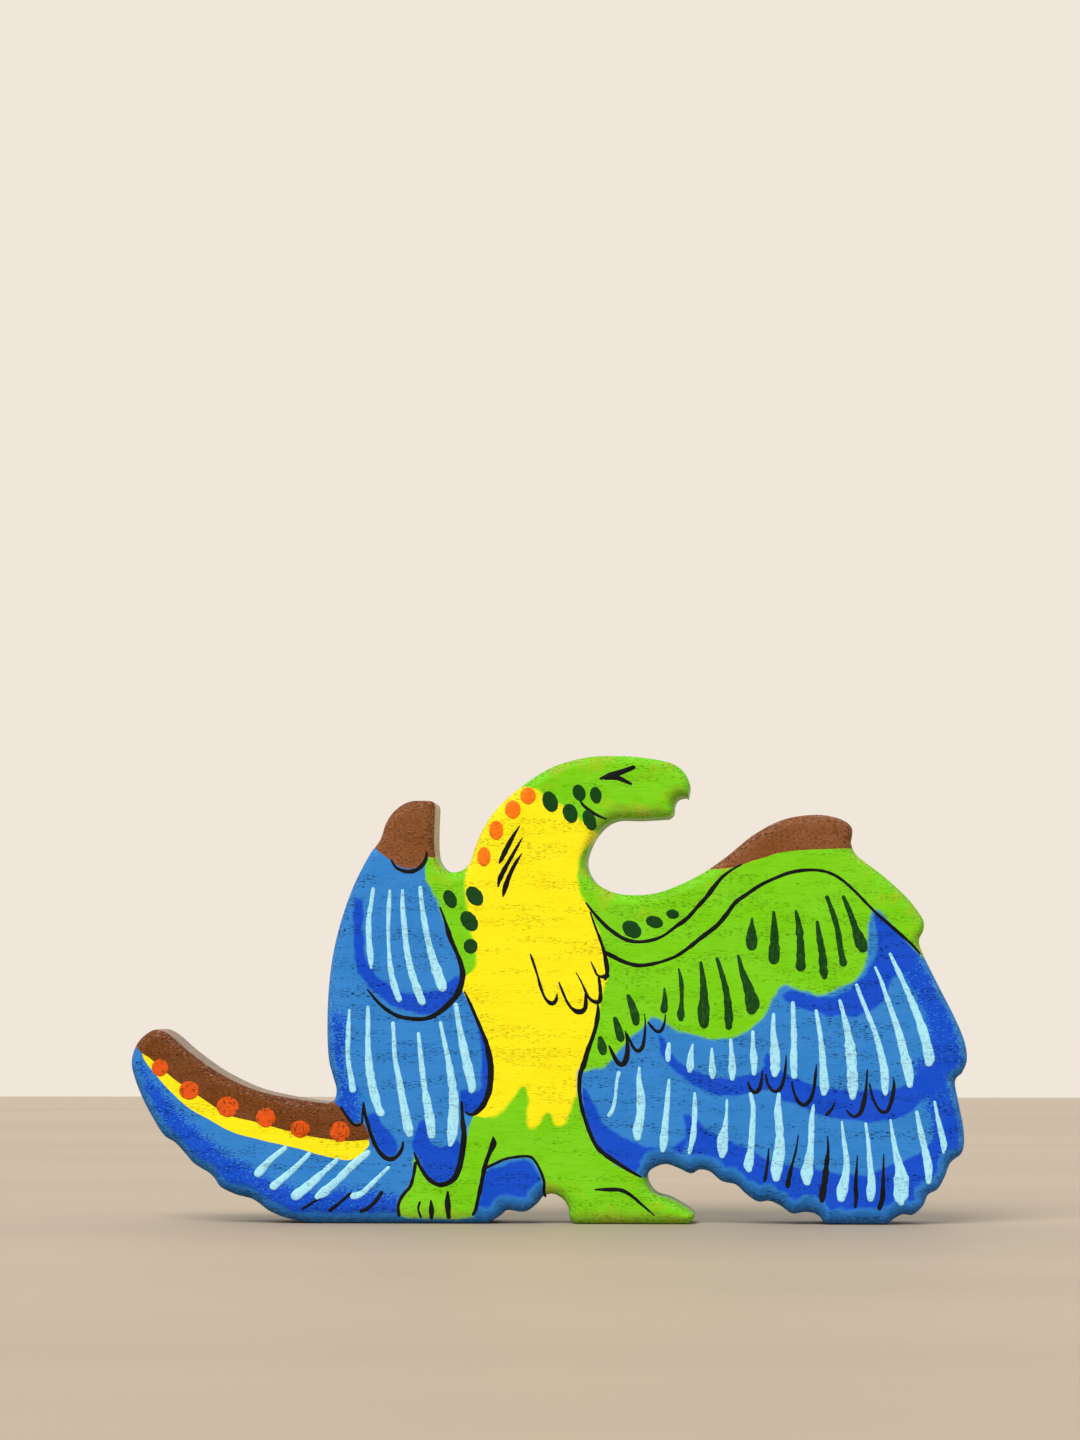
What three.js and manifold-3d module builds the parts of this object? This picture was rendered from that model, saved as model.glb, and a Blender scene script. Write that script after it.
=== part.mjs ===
// A hand-painted wooden figure of a feathered dinosaur: one board, sawn to a silhouette, sanded round at
// its edges and painted. Millimetres, +Z up. The figure stands on three soles on its lower edge and is
// seen from the front along +Y. Each colour area is a thin coat around the board, as its own mesh.
import * as THREE from "three";
import { mergeVertices } from "three/addons/utils/BufferGeometryUtils.js";
import Module from "manifold-3d";

// Driving dimensions
const LENGTH = 170; // tail's end to the right wing's edge
const THICKNESS = 18; // the board
const EDGE_RADIUS = 2; // sanding of both edges
const ROUND_STEPS = 2; // facets in each rounded edge
const COAT = 0.3; // depth of a paint coat
const SEAM = 0.03; // clearance between a coat and the wood
const COAT_GAP = 0.12; // line of bare wood between two coats
const SOLE_WIDTH = THICKNESS - 2 * EDGE_RADIUS; // flat part of the lower edge
const SOLE_DEPTH = 1; // how far the bare soles reach up into the coats
const LIFT = 0.05; // the coats end this far above the table

// Soles: where each one starts and ends along the board, from the tail's end
const TAIL_SOLE = [38, 71.5];
const FOOT_SOLE = [91.5, 112.5];
const WING_SOLE = [142.5, 152.5];

// Silhouette in runs, each a smooth line through its points: [distance from the tail's end, height].
const RUNS = {
  tailUnderside: [[37, LIFT], [32, 1], [28.5, 2.4], [26.3, 4], [24.6, 5], [21.5, 5.8], [18.4, 7.3],
    [17.2, 9], [15.8, 10.3], [13, 12], [11, 14.2], [9, 16.3], [6.7, 17.8], [4.6, 21], [2.3, 25.3],
    [0.6, 29.6], [0, 32.7], [0.9, 36], [2.9, 38.3], [5.3, 39.3], [8, 38.1], [12, 34.7], [18, 30.5],
    [25, 27.2], [32, 25.5], [40.2, 24.3]],
  leftWingEdge: [[40.2, 24.3], [41.6, 25], [42, 27.2], [41.3, 29.8], [40.4, 33.5], [40.1, 40],
    [40.4, 48], [41.4, 55.5], [43.2, 62.5], [45.6, 69], [48.6, 74.8], [50.8, 77.9], [52.1, 81.5],
    [54, 84.1], [57, 85.8], [61.2, 85.9]],
  wingNotch: [[61.2, 85.9], [62.1, 85], [62, 81], [62, 76.5], [62.5, 73.7], [64, 71.9], [66, 71.3],
    [68, 71.9], [69.3, 73.4]],
  neckAndHead: [[69.3, 73.4], [71.7, 79.8], [75.3, 84.9], [80.2, 89.1], [86, 92.7], [92.5, 94.6],
    [98, 95], [104, 94.7], [110, 93.6], [112.8, 91.8], [114, 89.5], [113.9, 87.6]],
  snout: [[113.9, 87.6], [113.1, 86.9], [111.7, 86.5], [110.9, 85.2], [110.7, 83.4], [109.7, 82.5]],
  underHead: [[109.7, 82.5], [104, 82.2], [99.5, 82.2], [96.6, 80.8], [94.2, 77.7], [92.9, 74],
    [93.4, 71.2], [95.2, 68.9], [98.4, 67.2], [102.5, 66.6], [108, 67.2], [115, 70.1], [121, 74],
    [127, 78.8], [133, 81.9], [139.5, 82.9], [144.5, 82.1], [147, 80.2], [146.8, 77.2]],
  rightWingEdge: [[146.8, 77.2], [148, 74.6], [153, 70.7], [158, 66.1], [161.2, 61.8], [161.4, 59.5],
    [160.5, 57.4], [161.1, 55], [164, 48.9], [167.5, 42], [169.6, 36.8], [170, 33], [168.9, 30.4]],
  rightWingTrailing: [[168.9, 30.4], [167.6, 28.9], [168.2, 25], [169.3, 19], [169, 14.7],
    [166.6, 12.5], [165.4, 9.6], [164, 7.2], [162, 6], [161, 3.8], [158.9, 2], [156.6, 2], [153.5, LIFT]],
  rightWingFeathers: [[141.3, LIFT], [139.6, 2], [137.2, 2.5], [134.6, 2.2], [132.2, 3.8], [130, 4.7],
    [127.6, 4.6], [125.2, 6.2], [123.2, 8], [120.4, 8.7], [118, 10.6], [115.9, 11], [114.2, 10.2],
    [111.6, 11.3], [109, 12.1], [106.4, 11.2], [105.2, 9.7], [105.5, 7.8], [107, 6], [110, 5],
    [113.3, 3.1], [114.9, 1.6], [113.6, LIFT]],
  legArch: [[90.6, LIFT], [89.5, 1.4], [89.3, 3.2], [88.2, 5], [86, 6.1], [83.8, 5.3], [82.3, 3.5],
    [80.2, 2.4], [76.8, 2.7], [74.9, 1.2], [72.6, LIFT]],
};
const POINT_SHARE = 1.7; // silhouette points per drawn point
const SHORT_EDGE = 0.02; // shortest edge of a ring

// Colour borders, each from board edge to board edge or to another border
const TIP_BORDER = [[48, 78], [50.8, 75.4], [53.2, 73.7], [55, 72.4], [57, 72], [59, 72.6], [60.5, 74.3]];
const TIP_SHOULDER = [[60.5, 74.3], [64, 74.3]];
const WING_SHOULDER = [[60.5, 74.3], [60.2, 70.8], [61.8, 67], [64, 62], [66, 56.6], [68.1, 49.8]];
const SHOULDER_CHEST = [[68.1, 49.8], [70.3, 51.8], [70.6, 54], [69.6, 60], [68.5, 67], [68.6, 74.5]];
const WING_CHEST = [[68.1, 49.8], [67.9, 47.2], [70.5, 42], [72.7, 37], [73.9, 32.5], [73.9, 28],
  [72.5, 24], [70.1, 22]];
const WING_LEG = [[70.1, 22], [68.5, 17], [67.8, 13], [66.3, 9.2], [63.5, 7.8], [60.8, 8.9], [58.1, 14]];
const WING_TAIL = [[58.1, 14], [55.9, 15.8], [54.6, 13.6], [53, 13], [51.4, 14], [49.9, 16.5]];
const WING_TAIL_BACK = [[49.9, 16.5], [49.2, 17.2], [47.6, 20.4], [45.6, 20.3], [43.5, 22.8], [40, 26.4]];
const LEG_TAIL = [[58.1, 14], [57.9, 10.5], [56.9, 7.4], [55.2, 4.8], [54.8, 2.6], [57, 1.1], [68.8, 1.1],
  [70.4, 2.4], [71.4, 6], [72.7, 11], [76, 12.8], [80, 13.7], [82.2, 13.2], [84, 10], [84.5, 7.5], [84.6, 3]];
const LEG_CHEST = [[70.1, 22], [72.8, 21.4], [75, 22], [77.8, 24.8], [80.3, 27.7], [81.2, 25], [80.9, 20.5],
  [82, 19.3], [83.8, 20.4], [85.3, 22.4], [86.8, 19.9], [88.6, 20.5], [90.3, 24], [91.6, 28]];
const TAIL_TIP_BORDER = [[2.3, 34.5], [-1, 37.6]];
const STRIPE_TOP = [[2.3, 34.5], [4.6, 33], [8.5, 29.6], [14.5, 25.5], [20, 22], [25, 20.7], [32, 18.8],
  [37, 17.6], [44, 16.7], [48.8, 17]];
const STRIPE_BOTTOM = [[2.3, 34.5], [3, 32.8], [6.5, 28.5], [11.5, 23.7], [16.5, 20.8], [21, 18.4],
  [27, 16.8], [34, 15.2], [41, 13.3], [45.5, 12.9], [48.8, 15.6], [48.8, 17]];
const STRIPE_END = [[48.8, 17], [49.9, 16.5]];
const HEAD_BORDER = [[77.5, 89.5], [80.5, 88.4], [83, 88.2], [85, 86.3], [89.5, 84], [93, 81], [97, 78.3]];
const CHEST_STRIP = [[96, 78.5], [92.9, 76.6], [91.5, 73.5], [91.2, 69.5], [93, 65]];
const CHEST_RIGHT_WING = [[93, 65], [95.2, 59.8], [97, 54.5], [97.2, 49.8], [96.1, 45.5], [95.3, 42],
  [93.2, 35], [91.8, 31]];
const GREEN_BLUE_LEFT = [[91.8, 31], [91.6, 28]];
const LEG_RIGHT_WING = [[91.6, 28], [92.2, 23], [94.1, 17.6], [96, 14.7], [101, 11], [107, 8.8]];
const GREEN_BLUE = [[91.8, 31], [96, 31.4], [99, 34.2], [103.5, 39], [107, 41.7], [111, 39.2], [119, 37.3],
  [124.5, 38.5], [129, 41.8], [132.6, 48], [137, 47.2], [141, 46.3], [147, 49], [149.8, 53.5], [151.3, 63.3],
  [157, 58.2], [163, 52]];
const LEADING_BORDER = [[116, 71.9], [122, 72], [129, 74.1], [135, 75.5], [150, 76.1]];

// Colours of the wood and the paints, and their gloss
const BOARD_COLOUR = 0xd9b383;
const BLUE = 0x2f7fd0;
const GREEN = 0x7ecb1f;
const YELLOW = 0xffe61a;
const BROWN = 0x7c4a26;
const WOOD_ROUGHNESS = 0.7;
const PAINT_ROUGHNESS = 0.4;

const wasm = await Module();
wasm.setup();

// A manifold-3d solid from a closed three.js geometry
function solid(geometry) {
  geometry.deleteAttribute("normal");
  geometry.deleteAttribute("uv");
  const merged = mergeVertices(geometry, 1e-4);
  const mesh = new wasm.Mesh({
    numProp: 3,
    vertProperties: merged.attributes.position.array,
    triVerts: new Uint32Array(merged.index.array),
  });
  return new wasm.Manifold(mesh);
}

// A named three.js mesh from a manifold-3d solid
function meshOf(name, shape, colour, roughness) {
  const data = shape.getMesh();
  const geometry = new THREE.BufferGeometry();
  geometry.setAttribute("position", new THREE.BufferAttribute(new Float32Array(data.vertProperties), 3));
  geometry.setIndex(new THREE.BufferAttribute(new Uint32Array(data.triVerts), 1));
  geometry.computeVertexNormals();
  const material = new THREE.MeshStandardMaterial({ color: colour, roughness, metalness: 0 });
  const mesh = new THREE.Mesh(geometry, material);
  mesh.name = name;
  return mesh;
}

// The drawn point in the part's frame, whose middle is X = 0
function place([along, height]) {
  return new THREE.Vector2(along - LENGTH / 2, height);
}

// The silhouette as one closed ring of points, anticlockwise from the front
function silhouette() {
  const ring = Object.values(RUNS).flatMap((run) => {
    const curve = new THREE.SplineCurve(run.map(place));
    return curve.getPoints(Math.round((run.length - 1) * POINT_SHARE));
  });
  const points = ring.filter((p, i) => p.distanceTo(ring[(i + 1) % ring.length]) > 0.05);
  return THREE.ShapeUtils.isClockWise(points) ? points.reverse() : points;
}

// The ring moved inwards along its corners' bisectors; an edge that would turn over stays as a short one
function inset(ring, distance) {
  const count = ring.length;
  const moved = ring.map((p, i) => {
    const before = p.clone().sub(ring[(i + count - 1) % count]).normalize();
    const after = ring[(i + 1) % count].clone().sub(p).normalize();
    const inward = new THREE.Vector2(-before.y - after.y, before.x + after.x).normalize();
    const reach = Math.max(0.6, -before.y * inward.x + before.x * inward.y);
    return p.clone().addScaledVector(inward, distance / reach);
  });
  for (let pass = 0; pass < 8; pass++) {
    moved.forEach((p, i) => {
      const next = moved[(i + 1) % count];
      const along = ring[(i + 1) % count].clone().sub(ring[i]).normalize();
      if (next.clone().sub(p).dot(along) < SHORT_EDGE) {
        const middle = p.clone().add(next).multiplyScalar(0.5);
        p.copy(middle).addScaledVector(along, -SHORT_EDGE / 2);
        next.copy(middle).addScaledVector(along, SHORT_EDGE / 2);
      }
    });
  }
  return moved;
}

// A board with this silhouette: skin is how far its whole surface lies inside the painted one
function board(ring, skin) {
  const half = THICKNESS / 2 - skin;
  const radius = EDGE_RADIUS - skin;
  const turns = Array.from({ length: ROUND_STEPS + 1 }, (_, k) => ((k / ROUND_STEPS) * Math.PI) / 2);
  const front = turns.map((a) => ({ y: radius * (1 - Math.cos(a)) - half, in: radius * (1 - Math.sin(a)) }));
  const back = front.map((level) => ({ y: -level.y, in: level.in })).reverse();
  const levels = [...front, ...back];
  const rings = levels.map((level) => inset(ring, skin + level.in));
  const count = ring.length;
  const positions = rings.flatMap((points, k) => points.flatMap((p) => [p.x, levels[k].y, p.y]));
  const faces = [];
  for (let k = 0; k + 1 < levels.length; k++) {
    for (let i = 0; i < count; i++) {
      const a = k * count + i;
      const b = k * count + ((i + 1) % count);
      faces.push(a, b + count, b, a, a + count, b + count);
    }
  }
  const last = (levels.length - 1) * count;
  for (const [a, b, c] of THREE.ShapeUtils.triangulateShape(rings[0], [])) {
    faces.push(a, b, c, last + a, last + c, last + b);
  }
  const geometry = new THREE.BufferGeometry();
  geometry.setAttribute("position", new THREE.Float32BufferAttribute(positions, 3));
  geometry.setIndex(faces);
  return solid(geometry);
}

// A prism through the board, from depth y0 to y1, over an outline in the plane of the silhouette
function prism(points, y0 = -THICKNESS, y1 = THICKNESS) {
  const geometry = new THREE.ExtrudeGeometry(new THREE.Shape(points), { depth: y1 - y0, bevelEnabled: false });
  geometry.rotateX(Math.PI / 2);
  geometry.translate(0, y1, 0);
  return solid(geometry);
}

// A thin upright wall along a border, which keeps the coats on its two sides apart
function gapAlong(border) {
  const points = border.map(place);
  const sides = points.map((p, i) => {
    const before = points[Math.max(0, i - 1)];
    const after = points[Math.min(points.length - 1, i + 1)];
    const run = after.clone().sub(before).normalize();
    return new THREE.Vector2(-run.y, run.x).multiplyScalar(COAT_GAP / 2);
  });
  const left = points.map((p, i) => p.clone().add(sides[i]));
  const right = points.map((p, i) => p.clone().sub(sides[i]));
  return prism([...left, ...right.reverse()]);
}

// The bare soles: blocks under the board, grown on every side but the lowest one
function soles(growth) {
  return [TAIL_SOLE, FOOT_SOLE, WING_SOLE]
    .map(([start, end]) => {
      const length = end - start + 2 * growth;
      const block = new THREE.BoxGeometry(length, SOLE_WIDTH + 2 * growth, SOLE_DEPTH + growth);
      block.translate((start + end - LENGTH) / 2, 0, (SOLE_DEPTH + growth) / 2);
      return solid(block);
    })
    .reduce((all, block) => all.add(block));
}

const reversed = (points) => [...points].reverse();

// Every colour area: its name, its colour, and its outline from the borders around it
const AREAS = [
  ["left_wing_tip_coat", BROWN, [...TIP_BORDER, ...TIP_SHOULDER, [64, 90], [48, 90]]],
  ["left_wing_coat", BLUE, [...TIP_BORDER, ...WING_SHOULDER, ...WING_CHEST, ...WING_LEG, ...WING_TAIL,
    ...WING_TAIL_BACK, [36, 28], [36, 78]]],
  ["shoulder_coat", GREEN, [...TIP_SHOULDER, ...reversed(SHOULDER_CHEST), ...reversed(WING_SHOULDER)]],
  ["chest_coat", YELLOW, [[67, 80], [74, 92], ...HEAD_BORDER, ...CHEST_STRIP, ...CHEST_RIGHT_WING,
    ...GREEN_BLUE_LEFT, ...reversed(LEG_CHEST), ...reversed(WING_CHEST), ...SHOULDER_CHEST]],
  ["legs_coat", GREEN, [...reversed(WING_LEG), ...LEG_CHEST, ...LEG_RIGHT_WING, [117, 7], [117, -2], [84.6, -2],
    ...reversed(LEG_TAIL)]],
  ["tail_coat", BLUE, [...reversed(TAIL_TIP_BORDER), ...STRIPE_BOTTOM, ...STRIPE_END, ...reversed(WING_TAIL),
    ...LEG_TAIL, [84.6, -2], [-2, -2], [-2, 37.6]]],
  ["tail_back_coat", BROWN, [...TAIL_TIP_BORDER, [0, 41], [20, 41], ...reversed(WING_TAIL_BACK),
    ...reversed(STRIPE_END), ...reversed(STRIPE_TOP)]],
  ["head_coat", GREEN, [...reversed(HEAD_BORDER), [77, 98], [117, 98], [117, 80]]],
  ["right_wing_green_coat", GREEN, [...reversed(CHEST_STRIP), [110, 75], ...LEADING_BORDER, [165, 66],
    ...reversed(GREEN_BLUE), ...reversed(CHEST_RIGHT_WING)]],
  ["right_wing_blue_coat", BLUE, [...GREEN_BLUE, [175, 52], [175, -2], [117, -2], [117, 7],
    ...reversed(LEG_RIGHT_WING), ...reversed(GREEN_BLUE_LEFT)]],
  ["right_wing_tip_coat", BROWN, [...LEADING_BORDER, [150, 88], [116, 88]]],
];
const STRIPE = [...STRIPE_TOP, ...reversed(STRIPE_BOTTOM)];
const BORDERS = [TIP_BORDER, TIP_SHOULDER, WING_SHOULDER, SHOULDER_CHEST, WING_CHEST, WING_LEG, WING_TAIL,
  WING_TAIL_BACK, LEG_TAIL, LEG_CHEST, TAIL_TIP_BORDER, STRIPE_TOP, STRIPE_BOTTOM, STRIPE_END, HEAD_BORDER,
  CHEST_STRIP, CHEST_RIGHT_WING, GREEN_BLUE_LEFT, LEG_RIGHT_WING, GREEN_BLUE, LEADING_BORDER];

// An outline without the points that two borders share
function outlineOf(points) {
  const placed = points.map(place);
  return placed.filter((p, i) => p.distanceTo(placed[(i + 1) % placed.length]) > 1e-6);
}

const ring = silhouette();
const wood = board(ring, COAT).add(soles(0));
const gaps = BORDERS.map(gapAlong).reduce((all, gap) => all.add(gap));
const coats = board(ring, 0).subtract(board(ring, COAT - SEAM)).subtract(soles(SEAM)).subtract(gaps);

const figure = new THREE.Group();
figure.name = "figure";
figure.add(meshOf("wood_body", wood, BOARD_COLOUR, WOOD_ROUGHNESS));
for (const [name, colour, points] of AREAS) {
  const coat = coats.intersect(prism(outlineOf(points)));
  figure.add(meshOf(name, coat, colour, PAINT_ROUGHNESS));
}
const stripeFront = coats.intersect(prism(outlineOf(STRIPE), -THICKNESS, 0));
const stripeRear = coats.intersect(prism(outlineOf(STRIPE), 0, THICKNESS));
figure.add(meshOf("tail_stripe_front", stripeFront, YELLOW, PAINT_ROUGHNESS));
figure.add(meshOf("tail_stripe_rear", stripeRear, YELLOW, PAINT_ROUGHNESS));

export default figure;
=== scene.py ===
"""Looks of a hand-painted wooden bird-dinosaur figure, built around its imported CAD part.

The figure is one thick board, sawn to a silhouette and sanded round. Drawn points are (along, height) in
millimetres: along from the tail's end, height from the table. The rear carries the same painting.
"""

import math

import bpy
import numpy as np
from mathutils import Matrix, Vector
from mathutils.geometry import delaunay_2d_cdt


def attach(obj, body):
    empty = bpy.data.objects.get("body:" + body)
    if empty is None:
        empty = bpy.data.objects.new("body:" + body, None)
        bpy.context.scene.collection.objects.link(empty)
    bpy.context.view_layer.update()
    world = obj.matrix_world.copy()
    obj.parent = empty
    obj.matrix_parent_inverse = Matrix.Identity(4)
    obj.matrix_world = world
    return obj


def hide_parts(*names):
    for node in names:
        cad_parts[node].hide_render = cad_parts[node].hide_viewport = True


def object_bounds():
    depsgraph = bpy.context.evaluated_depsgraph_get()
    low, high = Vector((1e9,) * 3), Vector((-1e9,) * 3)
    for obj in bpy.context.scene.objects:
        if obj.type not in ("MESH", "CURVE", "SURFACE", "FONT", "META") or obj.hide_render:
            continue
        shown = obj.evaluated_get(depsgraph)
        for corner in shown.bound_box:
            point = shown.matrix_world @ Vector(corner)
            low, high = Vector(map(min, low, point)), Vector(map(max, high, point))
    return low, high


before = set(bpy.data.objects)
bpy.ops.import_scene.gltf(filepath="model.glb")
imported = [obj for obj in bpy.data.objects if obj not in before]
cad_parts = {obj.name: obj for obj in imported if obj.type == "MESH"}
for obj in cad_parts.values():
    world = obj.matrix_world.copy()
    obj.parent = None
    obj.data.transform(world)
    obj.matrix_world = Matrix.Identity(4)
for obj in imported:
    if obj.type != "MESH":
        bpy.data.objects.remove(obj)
CAD_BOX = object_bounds()

# ---------------------------------------------------------------- driving dimensions, millimetres
MM = 0.001                # one millimetre in metres
LEFT = CAD_BOX[0].x / MM
HALF_DEPTH = (CAD_BOX[1].y - CAD_BOX[0].y) / 2 / MM
LIFT = 0.05               # the painted surface stays this far above the table
EDGE_RADIUS = 2.0         # the board's sanded edge
OUTLINE_STEP = 0.5        # spacing of points on the silhouette and the colour borders
FACE_STEP = 0.8           # spacing of points inside the faces
TRIANGLE_HEIGHT = 0.866   # of a triangle with all its sides 1
RIM_INSETS = (0.08, 0.3, 0.65, 1.1, 1.6, 2.1, 2.8)    # rows of points over the rounded edge, by depth
RIM_KEPT = 0.93           # share of its depth that a rim point keeps where the silhouette folds back
BORDER_CLEARANCE = 0.22   # other points stay this far from a colour border
TOUCHING = 1e-3           # anything closer than this counts as touching
ALONG_OUTLINE = 0.02      # an edge with its middle this close to the silhouette runs along it
WALL_STEPS = 12           # strips of the side wall, from front to rear
STROKE_STEP = 0.45        # spacing of rows along a brush stroke
STROKE_COLUMNS = 7        # points across a stroke
THINNEST = 0.12           # the least drawn width of a stroke
WOBBLE = 0.075            # unevenness of a stroke's width
WOBBLE_ROWS = 2           # rows between changes of a stroke's width
CAP_ANGLES = (30, 60, 82)     # degrees at which rows round off a stroke's end
DOT_ANGLES = np.linspace(-86, 86, 15)     # degrees of the rows from a dot's one end to the other
DOT_WOBBLE = 0.03         # unevenness of a dot's width
LIGHT_SPREAD = 1.08       # painted width over the drawn width
BLACK_SPREAD = 1.36
DROP_SPREAD = 1.14
DOT_SPREAD = 1.16
LIGHT_HEIGHT = 0.14       # how high each kind of stroke stands
BLACK_HEIGHT = 0.09
DROP_HEIGHT = 0.12
DOT_HEIGHT = 0.13
SKIN_SUNK = 0.03          # a stroke's rim lies this far below the painted surface
POINT_BLOCK = 2000        # points measured at a time
TINY = 1e-9               # keeps a length above zero where it divides

# ---------------------------------------------------------------- the silhouette, in runs between corners
OUTLINE_RUNS = [
    [(37, LIFT), (32, 1), (28.5, 2.4), (26.3, 4), (24.6, 5), (21.5, 5.8), (18.4, 7.3), (17.2, 9),
     (15.8, 10.3), (13, 12), (11, 14.2), (9, 16.3), (6.7, 17.8), (4.6, 21), (2.3, 25.3), (0.6, 29.6),
     (0, 32.7), (0.9, 36), (2.9, 38.3), (5.3, 39.3), (8, 38.1), (12, 34.7), (18, 30.5), (25, 27.2),
     (32, 25.5), (40.2, 24.3)],
    [(40.2, 24.3), (41.6, 25), (42, 27.2), (41.3, 29.8), (40.4, 33.5), (40.1, 40), (40.4, 48),
     (41.4, 55.5), (43.2, 62.5), (45.6, 69), (48.6, 74.8), (50.8, 77.9), (52.1, 81.5), (54, 84.1),
     (57, 85.8), (61.2, 85.9)],
    [(61.2, 85.9), (62.1, 85), (62, 81), (62, 76.5), (62.5, 73.7), (64, 71.9), (66, 71.3), (68, 71.9),
     (69.3, 73.4)],
    [(69.3, 73.4), (71.7, 79.8), (75.3, 84.9), (80.2, 89.1), (86, 92.7), (92.5, 94.6), (98, 95),
     (104, 94.7), (110, 93.6), (112.8, 91.8), (114, 89.5), (113.9, 87.6)],
    [(113.9, 87.6), (113.6, 86.5), (113.3, 86.9)],
    [(113.3, 86.9), (111.7, 86.5), (110.9, 85.2), (110.7, 83.4), (109.7, 82.5)],
    [(109.7, 82.5), (104, 82.2), (99.5, 82.2), (96.6, 80.8), (94.2, 77.7), (92.9, 74), (93.4, 71.2),
     (95.2, 68.9), (98.4, 67.2), (102.5, 66.6), (108, 67.2), (115, 70.1), (121, 74), (127, 78.8),
     (133, 81.9), (139.5, 82.9), (144.5, 82.1), (147, 80.2), (146.8, 77.2)],
    [(146.8, 77.2), (148, 74.6), (153, 70.7), (158, 66.1), (161.2, 61.8), (161.4, 59.5), (160.5, 57.4),
     (161.1, 55), (164, 48.9), (167.5, 42), (169.6, 36.8), (170, 33), (168.9, 30.4)],
    [(168.9, 30.4), (167.6, 28.9), (168.2, 25), (169.3, 19), (169, 14.7), (166.6, 12.5), (165.4, 9.6),
     (164, 7.2), (162, 6), (161, 3.8), (158.9, 2), (156.6, 2), (153.5, LIFT)],
    [(153.5, LIFT), (141.3, LIFT)],
    [(141.3, LIFT), (139.6, 2), (137.2, 2.5), (134.6, 2.2), (132.2, 3.8), (130, 4.7), (127.6, 4.6),
     (125.2, 6.2), (123.2, 8), (120.4, 8.7), (118, 10.6), (115.9, 11), (114.2, 10.2), (111.6, 11.3),
     (109, 12.1), (106.4, 11.2), (105.2, 9.7), (105.5, 7.8), (107, 6), (110, 5), (113.3, 3.1),
     (114.9, 1.6), (113.6, LIFT)],
    [(113.6, LIFT), (90.6, LIFT)],
    [(90.6, LIFT), (89.5, 1.4), (89.3, 3.2), (88.2, 5), (86, 6.1), (83.8, 5.3), (82.3, 3.5),
     (80.2, 2.4), (76.8, 2.7), (74.9, 1.2), (72.6, LIFT)],
    [(72.6, LIFT), (37, LIFT)],
]

# ---------------------------------------------------------------- borders between the colour areas
TIP_BORDER = [(48, 78), (50.8, 75.4), (53.2, 73.7), (55, 72.4), (57, 72), (59, 72.6), (60.5, 74.3)]
TIP_SHOULDER = [(60.5, 74.3), (64, 74.3)]
WING_SHOULDER = [(60.5, 74.3), (60.2, 70.8), (61.8, 67), (64, 62), (66, 56.6), (68.1, 49.8)]
SHOULDER_CHEST = [(68.1, 49.8), (70.3, 51.8), (70.6, 54), (69.6, 60), (68.5, 67), (68.6, 74.5)]
WING_CHEST = [(68.1, 49.8), (67.9, 47.2), (70.5, 42), (72.7, 37), (73.9, 32.5), (73.9, 28), (72.5, 24),
              (70.1, 22)]
WING_LEG = [(70.1, 22), (68.5, 17), (67.8, 13), (66.3, 9.2), (63.5, 7.8), (60.8, 8.9), (58.1, 14)]
WING_TAIL = [(58.1, 14), (55.9, 15.8), (54.6, 13.6), (53, 13), (51.4, 14), (49.9, 16.5)]
WING_TAIL_BACK = [(49.9, 16.5), (49.2, 17.2), (47.6, 20.4), (45.6, 20.3), (43.5, 22.8), (40, 26.4)]
LEG_TAIL = [(58.1, 14), (57.9, 10.5), (56.9, 7.4), (55.2, 4.8), (54.8, 2.6), (57, 1.1), (68.8, 1.1),
            (70.4, 2.4), (71.4, 6), (72.7, 11), (76, 12.8), (80, 13.7), (82.2, 13.2), (84, 10),
            (84.5, 7.5), (84.6, 3)]
LEG_CHEST = [(70.1, 22), (72.8, 21.4), (75, 22), (77.8, 24.8), (80.3, 27.7), (81.2, 25), (80.9, 20.5),
             (82, 19.3), (83.8, 20.4), (85.3, 22.4), (86.8, 19.9), (88.6, 20.5), (90.3, 24), (91.6, 28)]
TAIL_TIP_BORDER = [(2.3, 34.5), (-1, 37.6)]
STRIPE_TOP = [(2.3, 34.5), (4.6, 33), (8.5, 29.6), (14.5, 25.5), (20, 22), (25, 20.7), (32, 18.8),
              (37, 17.6), (44, 16.7), (48.8, 17)]
STRIPE_BOTTOM = [(2.3, 34.5), (3, 32.8), (6.5, 28.5), (11.5, 23.7), (16.5, 20.8), (21, 18.4),
                 (27, 16.8), (34, 15.2), (41, 13.3), (45.5, 12.9), (48.8, 15.6), (48.8, 17)]
STRIPE_END = [(48.8, 17), (49.9, 16.5)]
HEAD_BORDER = [(77.5, 89.5), (80.5, 88.4), (83, 88.2), (85, 86.3), (89.5, 84), (93, 81), (97, 78.3)]
CHEST_STRIP = [(96, 78.5), (92.9, 76.6), (91.5, 73.5), (91.2, 69.5), (93, 65)]
CHEST_RIGHT_WING = [(93, 65), (95.2, 59.8), (97, 54.5), (97.2, 49.8), (96.1, 45.5), (95.3, 42),
                    (93.2, 35), (91.8, 31)]
GREEN_BLUE_LEFT = [(91.8, 31), (91.6, 28)]
LEG_RIGHT_WING = [(91.6, 28), (92.2, 23), (94.1, 17.6), (96, 14.7), (101, 11), (107, 8.8)]
GREEN_BLUE = [(91.8, 31), (96, 31.4), (99, 34.2), (103.5, 39), (107, 41.7), (111, 39.2), (119, 37.3),
              (124.5, 38.5), (129, 41.8), (132.6, 48), (137, 47.2), (141, 46.3), (147, 49),
              (149.8, 53.5), (151.3, 63.3), (157, 58.2), (163, 52)]
LEADING_BORDER = [(116, 71.9), (122, 72), (129, 74.1), (135, 75.5), (150, 76.1)]


def back(points):
    """The same border, run the other way."""
    return points[::-1]


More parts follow.
